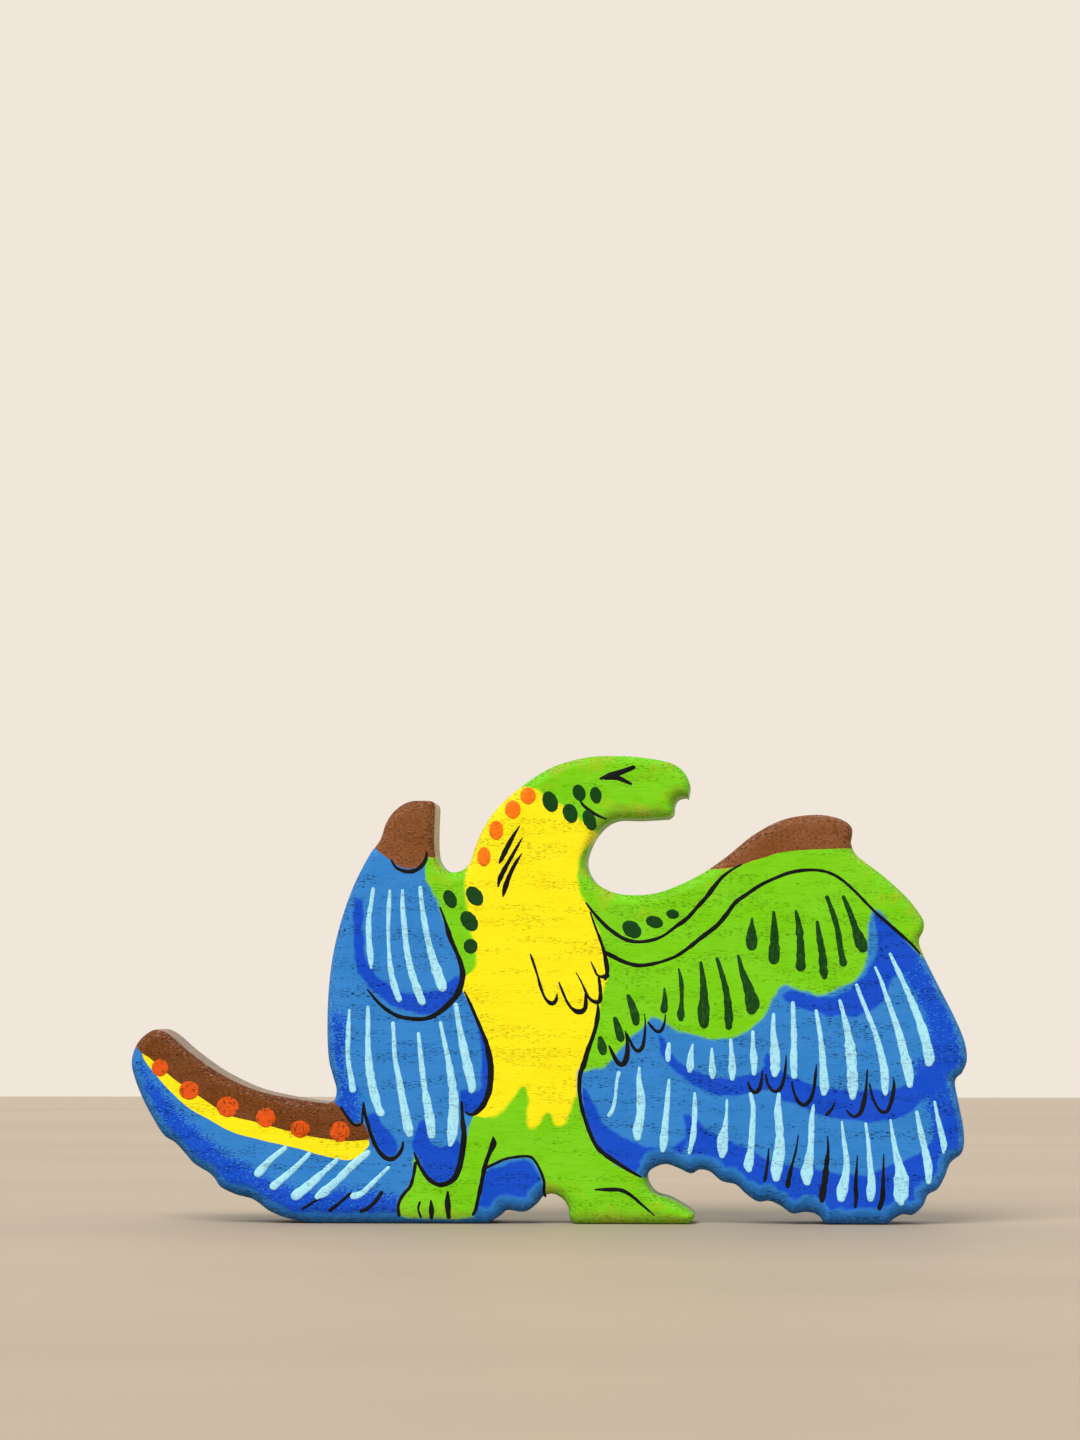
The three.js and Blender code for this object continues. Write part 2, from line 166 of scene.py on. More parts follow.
# Each area: the CAD coat it shows, its material slot, and the borders round it. A single point is a corner
# outside the silhouette.
AREAS = {
    "left_wing_tip_coat": ("brown_paint", [TIP_BORDER, TIP_SHOULDER, [(64, 90)], [(48, 90)]]),
    "left_wing_coat": ("blue_paint", [TIP_BORDER, WING_SHOULDER, WING_CHEST, WING_LEG, WING_TAIL,
                                      WING_TAIL_BACK, [(36, 28)], [(36, 78)]]),
    "shoulder_coat": ("green_paint", [TIP_SHOULDER, back(SHOULDER_CHEST), back(WING_SHOULDER)]),
    "chest_coat": ("yellow_paint", [[(67, 80)], [(74, 92)], HEAD_BORDER, CHEST_STRIP, CHEST_RIGHT_WING,
                                    GREEN_BLUE_LEFT, back(LEG_CHEST), back(WING_CHEST), SHOULDER_CHEST]),
    "legs_coat": ("green_paint", [back(WING_LEG), LEG_CHEST, LEG_RIGHT_WING, [(117, 7)], [(117, -2)],
                                  [(84.6, -2)], back(LEG_TAIL)]),
    "tail_coat": ("blue_paint", [back(TAIL_TIP_BORDER), STRIPE_BOTTOM, STRIPE_END, back(WING_TAIL),
                                 LEG_TAIL, [(84.6, -2)], [(-2, -2)], [(-2, 37.6)]]),
    "tail_back_coat": ("brown_paint", [TAIL_TIP_BORDER, [(0, 41)], [(20, 41)], back(WING_TAIL_BACK),
                                       back(STRIPE_END), back(STRIPE_TOP)]),
    "tail_stripe": ("yellow_paint", [STRIPE_TOP, back(STRIPE_BOTTOM)]),
    "head_coat": ("green_paint", [back(HEAD_BORDER), [(77, 98)], [(117, 98)], [(117, 80)]]),
    "right_wing_green_coat": ("green_paint", [back(CHEST_STRIP), [(110, 75)], LEADING_BORDER, [(165, 66)],
                                              back(GREEN_BLUE), back(CHEST_RIGHT_WING)]),
    "right_wing_blue_coat": ("blue_paint", [GREEN_BLUE, [(175, 52)], [(175, -2)], [(117, -2)], [(117, 7)],
                                            back(LEG_RIGHT_WING), back(GREEN_BLUE_LEFT)]),
    "right_wing_tip_coat": ("brown_paint", [LEADING_BORDER, [(150, 88)], [(116, 88)]]),
}

# ---------------------------------------------------------------- darker blue shading inside the blue areas
CLEAN_SHADING = {
    "covert_u": [(45.8, 66), (45.7, 58), (46, 52.5), (47.6, 49.4), (50.3, 46.4), (54.5, 43.8),
                 (60, 42.3), (63.6, 43.5), (66.2, 46), (67.6, 48.6), (66.9, 50.4), (65.3, 49),
                 (63, 47.6), (60.5, 46.9), (57.5, 46.6), (55, 47.1), (52.5, 48.6), (50, 50.6),
                 (48.4, 53.4), (47.6, 58), (47.4, 66)],
    "left_wing_foot": [(48.2, 22), (49.4, 18.4), (50.6, 15.4), (52.4, 13.6), (54.6, 14.4), (54, 17.6),
                       (51.6, 20), (50, 22.4)],
    "feather_tip": [(57.4, 15.8), (58.6, 19.4), (60.1, 21.2), (61.4, 16.8), (63.6, 15.4), (66.8, 17),
                    (67.6, 14), (66.2, 9.9), (63.6, 8.3), (60.9, 9.5), (58.6, 13)],
    "left_wing_right_rim": [(70.4, 43.2), (71.3, 38.6), (71.9, 33.2), (71.7, 28.6), (70.6, 26.6),
                            (67.6, 26.9), (68, 22.6), (70.3, 22.6), (72.4, 24.8), (73.5, 28.6),
                            (73.6, 32.6), (72.6, 37), (71, 41)],
    "scallop_band": [(132.6, 46.2), (134.4, 47.1), (137, 46.7), (141, 46), (144.5, 46.7),
                     (147.5, 48.6), (150.6, 51.8), (152, 56.5), (151.7, 63.2), (156.6, 59),
                     (160, 54.4), (158.8, 51.4), (156.6, 50.6), (154.6, 49), (153.8, 46),
                     (151.5, 43.6), (148, 42.2), (143.5, 42), (139, 42.8), (136, 43.8), (133.4, 45)],
    "middle_band": [(107.8, 38.8), (108.5, 34.2), (110.5, 31.6), (114, 28.6), (118, 26.4), (123, 26),
                    (130, 27.1), (133, 25.1), (137, 23.4), (141, 22), (146, 21.2), (150, 20.7),
                    (155, 21.1), (158, 22.4), (162, 26), (166.5, 28.6), (167, 32.6), (163, 32.8),
                    (161, 31.2), (159, 29.4), (155, 27.4), (149, 27.1), (144, 27.2), (140, 27.8),
                    (136, 29.4), (133, 31), (129.5, 34.6), (128.5, 31.2), (124, 29.9), (120, 29.8),
                    (116, 30.6), (113, 32.1), (110.5, 33.9), (109, 37)],
    "lower_rim_left": [(92.2, 27.4), (94.3, 25), (96, 21.2), (98.5, 18.6), (101.5, 17), (104.5, 15.9),
                       (108, 15.5), (111, 16.1), (113.6, 17.2), (112, 14), (110.6, 12.6), (111, 10),
                       (102, 7), (94, 14), (90, 24)],
    "lower_rim": [(112.6, 22.6), (115, 21.5), (117, 19.5), (119, 18.3), (122, 16.7), (126, 15.2),
                  (130, 13.2), (134, 12), (137, 11.2), (141, 10.8), (145, 10.1), (149, 10), (152, 11),
                  (157.5, 13), (160, 14.3), (163, 17), (165, 20), (167, 24), (172, 24), (172, -3),
                  (112, -3), (112, 9), (113.6, 14), (113.4, 18.6)],
    "leg_patch": [(56, 5.2), (58, 8), (59, 1.5), (68, 1.5), (71, 4), (72.4, 10.4), (76.4, 12),
                  (80.4, 12.8), (82.4, 11.4), (83.8, 8.6), (84.2, 3), (76, -2), (55, -2)],
}
MOTTLED_SHADING = {
    "tail_band": [(1.9, 32), (3.6, 30.4), (6.2, 27.2), (9.2, 23.4), (12.6, 20), (16.4, 16.8), (20, 14),
                  (23, 12), (26, 10.4), (29.4, 8.8), (34, 7), (40, 6.6), (46, 6.8), (55, 5), (55, 1.4),
                  (34, 1.6), (28, 4), (24, 5.4), (21, 6.8), (17, 9.8), (13, 13.2), (9, 17.8),
                  (5, 22.4), (2.6, 26.6)],
    "left_wing_edge": [(41.4, 43), (41.3, 34), (42.2, 29), (41.5, 24.5), (44, 20.3), (46.5, 20.3),
                       (47.2, 23), (46.4, 26.6), (44.2, 28.6), (43.6, 34), (43.6, 42)],
    "right_edge": [(152.6, 63.6), (153.8, 58), (156.4, 52.4), (159.6, 46.4), (162.4, 40), (162, 35.4),
                   (159.4, 32), (160.6, 27.6), (162.4, 22), (163.8, 16), (168.6, 14), (169, 24),
                   (168, 29), (169.6, 34), (167, 43.6), (162.4, 52.6), (158, 61)],
}

# ---------------------------------------------------------------- brush work: (along, height, width) rows
# Each line runs through its rows as a smooth stroke. A dot is (along, height, half width, half height,
# lean in degrees).
LIGHT_BLUE_STROKES = {
    "tail": [
        [(31.7, 15.2, 1), (28.8, 12.9, 1.3), (26.3, 10.2, 1.8)],
        [(36.6, 14, .9), (33.5, 11, 1.2), (29.5, 7.6, 1.9)],
        [(42.5, 13, .9), (39.5, 10.3, 1.3), (36.5, 7.6, 2), (34, 5.7, 2)],
        [(48.6, 14.3, 1.2), (45.5, 11.8, 1.6), (42.5, 8.8, 1.5), (40, 6.6, 1.8), (38.5, 5.5, 1.5)],
        [(52.8, 11.3, .7), (50, 8.6, .9), (47.5, 6.2, 1.2), (45.8, 5.6, 1.6)],
    ],
    "left_wing": [
        [(49.6, 67.8, .8), (49.2, 65, .9), (48.7, 61.5, 1.1), (48.8, 57, 1.2), (49.1, 54, 1.3),
         (49.2, 51.8, .5)],
        [(53, 67.5, .6), (52.8, 64, .9), (52.7, 60, .8), (52.8, 56, .8), (53.2, 51.5, 1.1),
         (54, 48, 1.4), (54.9, 45.5, 1.2)],
        [(55.6, 67.5, .6), (55.6, 64.5, 1), (56, 60, 1.2), (56.4, 56, 1.3), (57.3, 51.5, 1.4),
         (58.6, 47.5, 1.6), (59.6, 45, 1.6)],
        [(59.2, 68.1, .8), (59.5, 65, 1), (60.1, 61, 1.2), (60.9, 57, 1.3), (62, 53, 1.8),
         (63.2, 49.5, 2.2), (63.7, 48, 1.8)],
        [(44.8, 43.2, .5), (44.6, 39, 1), (44.5, 35, 1), (44.7, 32, 1), (45.2, 29.5, 1.2),
         (45.5, 27.2, 1.4)],
        [(48.6, 43.8, .7), (48.6, 40, 1), (48.6, 36, 1.1), (48.9, 31.5, 1.6), (49.6, 27.5, 1.7),
         (50.7, 23.5, 1.7), (51.2, 22.5, 1.6)],
        [(53.7, 40.5, .8), (53.9, 37, .9), (54.1, 33.5, 1), (54.9, 29.5, 1.3), (55.7, 25, 1.6),
         (56.6, 20.5, 1.9), (57.1, 18.3, 1.7)],
        [(58.9, 38.4, .7), (59.3, 34.5, 1), (59.8, 30, 1.2), (60.4, 26, 1.5), (61.2, 21.5, 2),
         (61.6, 18, 1.6)],
        [(63.4, 40.6, .7), (64, 37.5, .9), (64.8, 34, 1.1), (65.5, 30, 1.5), (66.1, 25.5, 2),
         (66, 21, 2.2), (65.7, 17.5, 1.9), (65.4, 16, 1)],
        [(66.5, 44.2, .9), (67.1, 40.5, 1.1), (68, 36, 1.6), (69, 31.5, 1.9), (69.8, 28, 1.8),
         (69.7, 27, 1.2)],
    ],
    "right_wing_upper_row": [
        [(109.8, 36.3, .8), (109.6, 34.6, 1.2), (109.6, 33.2, 1)],
        [(114.6, 36.2, .5), (114.2, 34, 1.2), (114.1, 32, 1.5), (114, 31.1, 1)],
        [(118.5, 35.4, .5), (118.5, 33, 1.1), (118.6, 30.5, 1.4), (118.6, 29.8, 1)],
        [(122.3, 37.1, .7), (122.5, 34, 1.1), (122.6, 31.5, 1.5), (122.6, 29.5, 1)],
        [(126.8, 38.7, .7), (126.8, 35.5, 1.1), (127, 33, 1.5), (127, 30.5, 1)],
        [(131, 42.3, .7), (130.9, 39, 1.1), (131.2, 35.5, 1.7), (131.3, 32, 2.2), (131.2, 30.4, 1.6)],
        [(134.9, 44.6, .8), (135, 41, 1.1), (135.1, 37, 1.2), (135, 33, 1.6), (135.1, 30, 1.2)],
        [(139.6, 43, .7), (140.2, 39.5, 1), (140.7, 35.5, 1.2), (141, 31, 1.6), (141.2, 28, 1.9),
         (141.1, 26.6, 1.3)],
        [(144.4, 45.1, .7), (145.2, 42, 1), (146, 38.5, 1.5), (146.5, 35, 2.1), (146.8, 31, 2.2),
         (146.9, 27.5, 2.1), (146.9, 25.8, 1.4)],
        [(147.8, 48.2, .8), (148.8, 45.5, .9), (150.2, 42, 1), (151.5, 38.6, 1.1), (152.5, 35, 1.3),
         (153.3, 31, 1.7), (153.4, 27.5, 1.5), (153.5, 26.5, 1)],
        [(151.6, 51.8, .5), (152.8, 49, .8), (153.8, 46, 1), (155, 42.5, 1.2), (156.3, 38.5, 1.5),
         (157.3, 34.5, 1.9), (158.2, 30.5, 2), (158.4, 28.2, 1.2)],
        [(154.6, 54.5, .7), (156, 51.5, 1), (157.6, 48, 1.1), (159.3, 44, 1.5), (160.8, 40, 1.8),
         (161.8, 36.5, 2.1), (162.4, 33.5, 2.2), (162.3, 32.8, 1.8)],
    ],
    "right_wing_lower_row": [
        [(99.6, 30.4, .9), (99.2, 28.5, .6), (98.9, 25.5, .7), (98.4, 23.2, .9), (97.7, 22, .9)],
        [(103.8, 31.5, .5), (103.7, 29, 1.1), (104.1, 25.5, 1.8), (104, 22, 1.8), (103.4, 19, 2.2),
         (103.4, 17.6, 1.6)],
        [(109.8, 29.1, .5), (109.6, 26.5, 1), (109.3, 23, 1.2), (108.9, 19, 1.5), (108.7, 16.5, 1.8),
         (108.5, 15, 1)],
        [(115, 26.4, .5), (115, 24, 1), (114.9, 20.5, 1.1), (114.6, 17.5, 1.2), (114, 15, .9),
         (113.9, 14.4, .6)],
        [(121.5, 25, .6), (121.4, 22, .7), (121.1, 19.5, 1.2), (120.6, 17, 2.1), (120.6, 15, 2.2),
         (120.5, 14, 1.4)],
        [(126.3, 26.2, .8), (126.8, 23.5, 1), (126.6, 19, 1.2), (126.3, 15, 1.5), (125.8, 12, 2),
         (125.9, 11.2, 1.5)],
        [(132, 26.2, .8), (131.8, 23, 1.5), (132.1, 19, 1.7), (132.1, 15, 2.1), (131.5, 11.5, 2.4),
         (131.4, 9.5, 1.7)],
        [(139, 24, .5), (138.6, 21, 1.1), (138.5, 17.5, 1.2), (138.2, 14, 1.6), (137.6, 10.5, 2.6),
         (137.6, 8.7, 1.8)],
        [(144.7, 20.7, .4), (145, 17.5, .8), (145.6, 13, 1.2), (145.4, 10, 1.6), (144.7, 7, 2.3),
         (144.5, 5.5, 1.8)],
        [(149.5, 20.3, .5), (150, 16.5, .8), (150.3, 12.5, 1.2), (150.6, 9, 1.6), (150.5, 7, 1.9),
         (150.4, 5.4, 1.4)],
        [(154.5, 21, .5), (155, 17.5, .9), (155.7, 13.8, 1.4), (156.5, 10.5, 2.4), (156.6, 7.5, 3),
         (156.4, 5, 2.3), (156.5, 4.6, 1.4)],
        [(159.8, 22.6, .7), (160.5, 19, 1.1), (161.3, 15.5, 1.4), (162, 12, 1.7), (162.1, 10, 1.6),
         (162.1, 8.7, 1)],
        [(163.4, 24.7, .6), (164, 21.5, .9), (164.7, 18.5, 1.1), (165.2, 16.2, 1.5), (165.1, 14.6, .6)],
    ],
}
BLACK_STROKES = {
    "tail": [
        [(39.5, 5.6, .5), (37.5, 4.3, .5), (35.4, 3, .5)],
        [(45, 6, .6), (43, 4.3, .6), (41, 2.7, .6)],
        [(51.4, 6.2, .7), (50, 4.3, .7), (48.5, 3, .7), (47.4, 2.6, .7)],
    ],
    "left_wing": [
        [(43.2, 23.4, .5), (44, 22.2, .5), (45, 20.8, .5), (46, 19.9, .5), (47, 20, .5)],
        [(47.7, 24.3, .5), (48, 22.3, .6), (48.6, 20.2, .6), (49.2, 18.2, .7), (50, 16.2, .7),
         (51, 14.5, .8), (52.3, 13.3, .8), (53.6, 13.1, .8), (54.8, 13.9, .7), (55.6, 15.2, .6),
         (55.8, 16.4, .4)],
        [(47.7, 24.2, .4), (47.5, 22, .4), (47.4, 20.4, .4)],
        [(58.1, 14.3, .3), (58.7, 12.8, .6), (59.6, 11, .7), (60.8, 9.3, .8), (62.2, 8.2, .8),
         (63.5, 7.9, .9), (65, 8.3, .9), (66.3, 9.3, 1), (67.1, 11, 1), (67.6, 13, 1), (68, 15.5, 1.1),
         (68.2, 18, 1), (67.9, 21, .8), (67.7, 24.5, .5)],
        [(63.3, 64, .3), (64.3, 61.3, .5), (65.3, 58, .9), (66.4, 55.5, .7), (67.4, 53, .9),
         (67.9, 50.5, 1.1), (67.5, 48.2, 1.1), (66.6, 46.2, 1.1), (65, 44.4, 1), (62.8, 42.6, .9),
         (60.3, 41.5, .8), (57.5, 41.5, .7), (54.8, 42, .7), (52.3, 43.4, .6), (50.3, 45.2, .5),
         (48.5, 47.4, .3)],
        [(68.3, 46.9, .3), (69.4, 44.6, .5), (70.6, 41.8, .6), (71.7, 39.2, .6), (72.6, 36.9, .8),
         (73.2, 34.6, 1), (73.6, 32, 1.1), (73.6, 29.5, 1.1), (73.3, 27, 1.1), (72.6, 25, 1),
         (71.7, 23.5, 1), (70.3, 22.3, .8), (69.4, 22.1, .5), (68.5, 22.6, .3)],
        [(53.3, 73.7, .3), (54.2, 72.3, .5), (55.6, 71.6, .6), (57.1, 71.4, .8), (58.5, 71.8, .7),
         (59.6, 72.7, .7), (60.3, 73.8, .7), (60.5, 75.2, .3)],
    ],
    "legs": [
        [(58.3, 12.2, .6), (58, 10, .6), (57.3, 7.6, .6), (56.2, 6.3, .6), (55.2, 4.8, .6),
         (54.8, 3.3, .6), (55, 1.8, .6)],
        [(59.2, 4.3, .4), (58.9, 3, .4), (59.4, 1.5, .4)],
        [(61.5, 4.6, .4), (61.6, 3, .9), (61.6, 1.2, .6)],
        [(64.9, 6.4, .4), (64.9, 4, 1.1), (65.1, 1.4, .7)],
        [(74.1, 17.6, .2), (74.2, 16.3, 1.2), (73.5, 14.6, .8), (72.8, 12.8, .7), (72.3, 11, .8),
         (71.9, 9, .7), (71.5, 7, .7), (71, 4.8, .7), (70.6, 3, .6), (70.1, 2, .5)],
        [(72.8, 11.4, .5), (74.5, 12.2, .5), (76.5, 13.1, .5), (78.5, 13.5, .5), (80.5, 13.7, .5),
         (82, 13.4, .5), (83.2, 11.8, .5), (84.1, 9.8, .5), (84.5, 8.2, .5), (84.4, 6.6, .5),
         (84.6, 5.6, .4)],
        [(94.9, 7, .3), (97.5, 7, .7), (100, 6.9, .7), (102, 5.9, .6), (104, 4.2, .5), (106.7, 1.9, .2)],
    ],
    "chest": [
        [(79.5, 80.7, .2), (78, 78.3, .7), (76.8, 76, 1), (75.9, 74.2, .9), (75.4, 73.2, .4)],
        [(80, 78.2, .2), (78.3, 75.2, .7), (76.6, 72.2, .8), (75.5, 70, .9), (75.1, 68.4, .3)],
        [(79.9, 75, .2), (78.5, 72.8, .65), (77.3, 70.3, .8), (76.5, 68, .9), (76.1, 66.4, .3)],
        [(81.7, 54.5, .3), (82.3, 52.8, .5), (83.1, 50.3, .4), (83.8, 47.8, .5), (84.6, 45.8, .5),
         (85.5, 44.8, .7), (86.3, 44.6, .8), (86.9, 45.3, .7), (87.1, 46.5, .2)],
        [(87.5, 48.8, .3), (88.1, 47.3, .5), (88.9, 45.4, .5), (89.8, 43.9, .5), (91, 43, .8),
         (92.2, 43, .9), (92.9, 44, .8), (92.9, 46.7, .4)],
        [(91, 50.8, .2), (92, 49, .3), (92.8, 47.2, .5), (93.6, 45.7, .5), (94.8, 44.9, .7),
         (95.8, 45.2, .8), (95.9, 47.2, .7), (95.6, 49.7, .5)],
        [(94, 53, .2), (94.7, 51.5, .4), (95.3, 50.3, .4), (96.3, 50, .6), (97.2, 50.2, .8)],
    ],
    "head": [
        [(96, 90.3, .5), (98, 90.9, 1), (100.2, 91.6, 1), (102.6, 92.5, .8)],
        [(97, 90.4, .7), (99, 90.5, 1), (100.5, 90, .8), (102.1, 89.2, .5)],
        [(91.7, 86, .3), (92.5, 84.8, .5), (94, 83.6, .6), (95.5, 82.7, .5), (97, 82.1, .3)],
    ],
    "right_wing": [
        [(93.9, 63, .3), (94.8, 60.3, .4), (95.7, 58, .5), (96.6, 55.3, .7), (97.1, 52.8, .8),
         (97.3, 51, .8), (96.9, 49.6, .5)],
        [(95.4, 44.2, .4), (95.4, 42.5, .7), (95, 40, .7), (94.3, 37.7, .7), (93.3, 35, .9),
         (92.6, 32.5, .9), (91.8, 30.3, .8), (91.6, 28, .7), (91.7, 26, .7), (92.1, 23.5, .7),
         (92.9, 20.8, .7), (93.8, 18.3, .7), (95, 15.9, .8), (96.5, 14.3, .8), (98.5, 12.9, .8),
         (100.5, 11.6, .7), (102.5, 10.4, .6), (104, 9.6, .4)],
        [(93, 65, .3), (94.5, 63, .5), (96.5, 60.8, .6), (98.2, 59.3, .7), (100.3, 57.9, .7),
         (102.3, 57.2, .7), (104.5, 57.1, .6), (107, 57.6, .6), (109, 58.5, .5), (111, 60, .6),
         (113.5, 61.8, .8), (115.5, 64, .7), (117.5, 66.2, .8), (119, 68.2, .8), (120.7, 70.2, .6),
         (122.5, 71.6, .4), (124.5, 72.7, .3)],
        [(97.1, 54.8, .8), (98.5, 54.1, .8), (100.5, 53.1, .7), (103.3, 52.3, .7), (106, 52.5, .6),
         (108.8, 53.2, .6), (111.5, 54.3, .6), (114, 56, .7), (116.5, 58, .8), (119.5, 60.3, .8),
         (121.5, 62.6, .8), (123.3, 65, .7), (125.5, 66.6, .7), (128.5, 68.6, .6), (131.5, 70, .6),
         (134.5, 71.1, .6), (138, 71.6, .6), (141.5, 71.3, .5), (144.5, 69.9, .5), (147.5, 67.3, .5),
         (150, 64.7, .5), (152, 62.7, .5), (154.5, 60.5, .6), (157, 58.3, .6), (159, 56.5, .5),
         (160.6, 54.7, .3)],
        [(97.7, 35.9, .4), (98.5, 34.2, .6), (99.3, 32.8, .8), (100.2, 32.2, 1), (101, 33, .9),
         (101.4, 35, .8), (101.3, 37, .5), (101, 38.9, .3)],
        [(101.3, 38.4, .3), (102, 36.8, .5), (102.8, 35.4, .6), (103.7, 35, .8), (104.5, 36, .7),
         (104.9, 38.5, .5), (105, 41, .3), (104.8, 42.4, .2)],
        [(105.6, 40.8, .3), (106.4, 39.7, .5), (107.4, 38.9, .6), (108.3, 39.2, .6), (108.9, 40.7, .4),
         (109.1, 42.3, .2)],
        [(129.9, 15.2, .3), (129.7, 12.5, .5), (129.2, 9.5, .6), (129, 8.8, .4)],
        [(135.9, 18, .2), (135.4, 15, .4), (134.6, 12, .5), (134, 9.5, .8), (133.7, 7.9, .8)],
        [(141.8, 17.8, .2), (141.9, 15, .5), (141.6, 12.5, .9), (141.2, 9, 1), (140.7, 6, 1.1),
         (140.6, 5, .8)],
        [(147.8, 14, .2), (147.6, 11, .5), (147.4, 8, .7), (147.5, 5.5, .7), (147.3, 3.7, .5)],
        [(153.1, 14.2, .2), (153, 11, .5), (152.9, 8, .7), (152.8, 5.5, 1), (152.2, 3.5, .8)],
        [(125.8, 28.6, .4), (126.3, 27.3, .6), (127.2, 26.6, .7), (128.1, 27.4, .7), (128.5, 29.2, .5),
         (128.7, 31, .3)],
        [(129.4, 30.2, .4), (129.7, 28.5, .5), (130.6, 27.1, .6), (131.6, 26.9, .7), (132.5, 27.8, .7),
         (133.1, 29.7, .6), (133.4, 32, .4), (133.5, 34, .2)],
        [(134.6, 28.7, .3), (135.1, 26.5, .5), (136, 24.7, .6), (137.1, 24.1, .7), (138.2, 25, .7),
         (139, 27, .6), (139.4, 30, .5), (139.6, 32.2, .2)],
        [(143.2, 24.5, .3), (142.6, 23.2, .6), (141.6, 22.2, .5)],
        [(145.7, 23, .3), (146.5, 22.1, .5), (147.4, 21.8, .6), (148.5, 22.7, .8), (149.2, 25, .8),
         (149.6, 27.5, .5), (149.9, 31.2, .2)],
        [(150.3, 28.4, .3), (150.8, 26, .5), (151.7, 23.9, .5), (152.8, 22.7, .6), (153.9, 23, .7),
         (154.7, 25, .7), (155.2, 27.5, .6), (155.2, 29.4, .2)],
    ],
}
DARK_GREEN_DROPS = [
    [(126.7, 61.7, .4), (126.6, 59.5, 1.4), (126.6, 57.5, 2.2), (126.6, 56.5, 2)],
    [(131.1, 63, .6), (131.2, 60, 1.4), (131.2, 56.5, 1.9), (131.1, 53.7, 2.2)],
    [(135.6, 63.2, .6), (136.2, 60, 1.3), (136.5, 56, 1.5), (136.5, 52.2, 2)],
    [(139.9, 61, .7), (140.3, 58, 1.2), (140.9, 54.5, 1.5), (141.1, 51.5, 1.9), (141.3, 50.1, 1.3)],
    [(141.9, 66, .8), (143, 63, 1), (144, 59.5, 1.1), (144.5, 56, 1.2), (145.1, 52.9, 1.4)],
    [(145.2, 66.1, .8), (146.5, 63, 1.1), (147.5, 60, 1.5), (148.6, 57, 2.4), (149, 56, 1.9)],
    [(123.9, 54.2, .5), (124.7, 51, 1.2), (125.8, 48, 2), (126.7, 44.7, 3), (126.6, 43.6, 2.5)],
    [(119.6, 53.6, .7), (120.7, 50, 1.1), (121.5, 46.5, 1.3), (121.9, 42.5, 1.7), (121.9, 40, 1.6)],
    [(116.3, 52.8, .7), (116.7, 49.5, 1.2), (116.9, 46, 1.7), (116.8, 42.5, 2.4), (116.9, 40.6, 2)],
    [(111.8, 51.6, .3), (112.3, 49, .9), (112.4, 45.5, .8), (112.2, 42.5, 1.4), (112.2, 41.6, 1.2)],
    [(108.9, 47.6, .4), (109, 45.5, 1), (108.8, 43.4, 1.4)],
    [(101.6, 46, .8), (102.2, 44.5, 1.4), (102.9, 42.3, 1.8), (103.1, 40.9, 1.5)],
    [(98.9, 41.4, .9), (99.5, 39.5, 1.6), (100, 37.7, 1.6)],
    [(95.9, 37.4, 1.2), (96.2, 36, 1.9), (96.4, 35, 1.6)],
]
DOTS = {
    "tail_orange_dots": ("tail_orange", [(6.1, 31.5, 1.6, 1.5, 0), (12.1, 26.9, 2, 1.6, 0),
                                         (20, 23.6, 2.1, 1.8, 0), (27.8, 21.4, 1.9, 1.7, 0),
                                         (34.8, 19.1, 1.9, 1.5, 0), (42.9, 18.6, 1.9, 1.8, 0)]),
    "shoulder_green_dots": ("dark_green", [(65.3, 65.8, 1.2, 1.7, 25), (70.3, 66.4, 1.45, 1.9, 35),
                                           (69.2, 61.3, 1.5, 1.95, 35), (69.5, 56.2, 1.35, 1.3, 0)]),
    "head_green_dots": ("dark_green", [(85.7, 85.6, 1.45, 1.9, 20), (89.8, 83.2, 1.4, 1.75, 20),
                                       (91.6, 87.4, 1.2, 1.5, 20), (95, 86.9, 1.1, 1.5, 10),
                                       (93.7, 81.8, 1.2, 1.9, 20)]),
    "chest_orange_dots": ("chest_orange", [(81.2, 86.8, 1.5, 1.5, 0), (78.1, 84, 1.5, 1.6, 0),
                                           (74.7, 79.8, 1.4, 1.7, 0), (72.2, 74.4, 1.3, 1.7, 0)]),
    "right_wing_green_dots": ("dark_green", [(102.3, 59.6, 1.5, 1.85, 50),
                                             (106.9, 61.1, 1.15, 1.55, 72),
                                             (110.6, 62.7, 0.9, 1.15, 80)]),
}


# ---------------------------------------------------------------- colours
def colour(red, green, blue):
    """A colour as the materials take it, from its red, green and blue between 0 and 255."""
    def linear(byte):
        value = byte / 255
        return value / 12.92 if value <= 0.04045 else ((value + 0.055) / 1.055) ** 2.4
    return (linear(red), linear(green), linear(blue), 1.0)


BLUE = colour(46, 126, 202)
DEEP_BLUE = colour(0, 71, 198)
PALE_BLUE = colour(166, 226, 255)
GREEN = colour(118, 203, 8)
DARK_GREEN = colour(4, 62, 4)
YELLOW = colour(251, 228, 6)
BROWN = colour(114, 64, 25)
TIP_BROWN = colour(132, 80, 42)
DARK_BROWN = colour(66, 34, 16)
PALE_BROWN = colour(160, 98, 48)
# olive: random stains on green rims, and the painted shade on green rims that face down
OLIVE = colour(140, 150, 44)
YELLOW_OLIVE = colour(176, 190, 40)
# painted shade: blue rims that face down are darkened towards this
UNDERSIDE_SHADE = colour(96, 128, 140)
RUBBED = colour(170, 196, 214)
# pale side walls: painted sheen, with the sawn wood under thin paint
SIDE_SHEEN_AND_WOOD = colour(232, 214, 184)
BLACK = colour(3, 4, 4)
TAIL_ORANGE = colour(224, 84, 4)
CHEST_ORANGE = colour(250, 116, 6)
WOOD = colour(214, 176, 128)
WOOD_DARK = colour(150, 108, 66)
PORE = colour(30, 34, 40)
PORE_SHADE = colour(128, 112, 120)
FLOOR = colour(184, 166, 143)
ROOM = colour(250, 248, 244)
BACKDROP = colour(243, 232, 220)
DOT_PAINTS = {            # paint, what shows through it, and how much
    "tail_orange": (TAIL_ORANGE, BROWN, 1.0),
    "dark_green": (DARK_GREEN, None, 0),
    "chest_orange": (CHEST_ORANGE, YELLOW, 0.1),
}


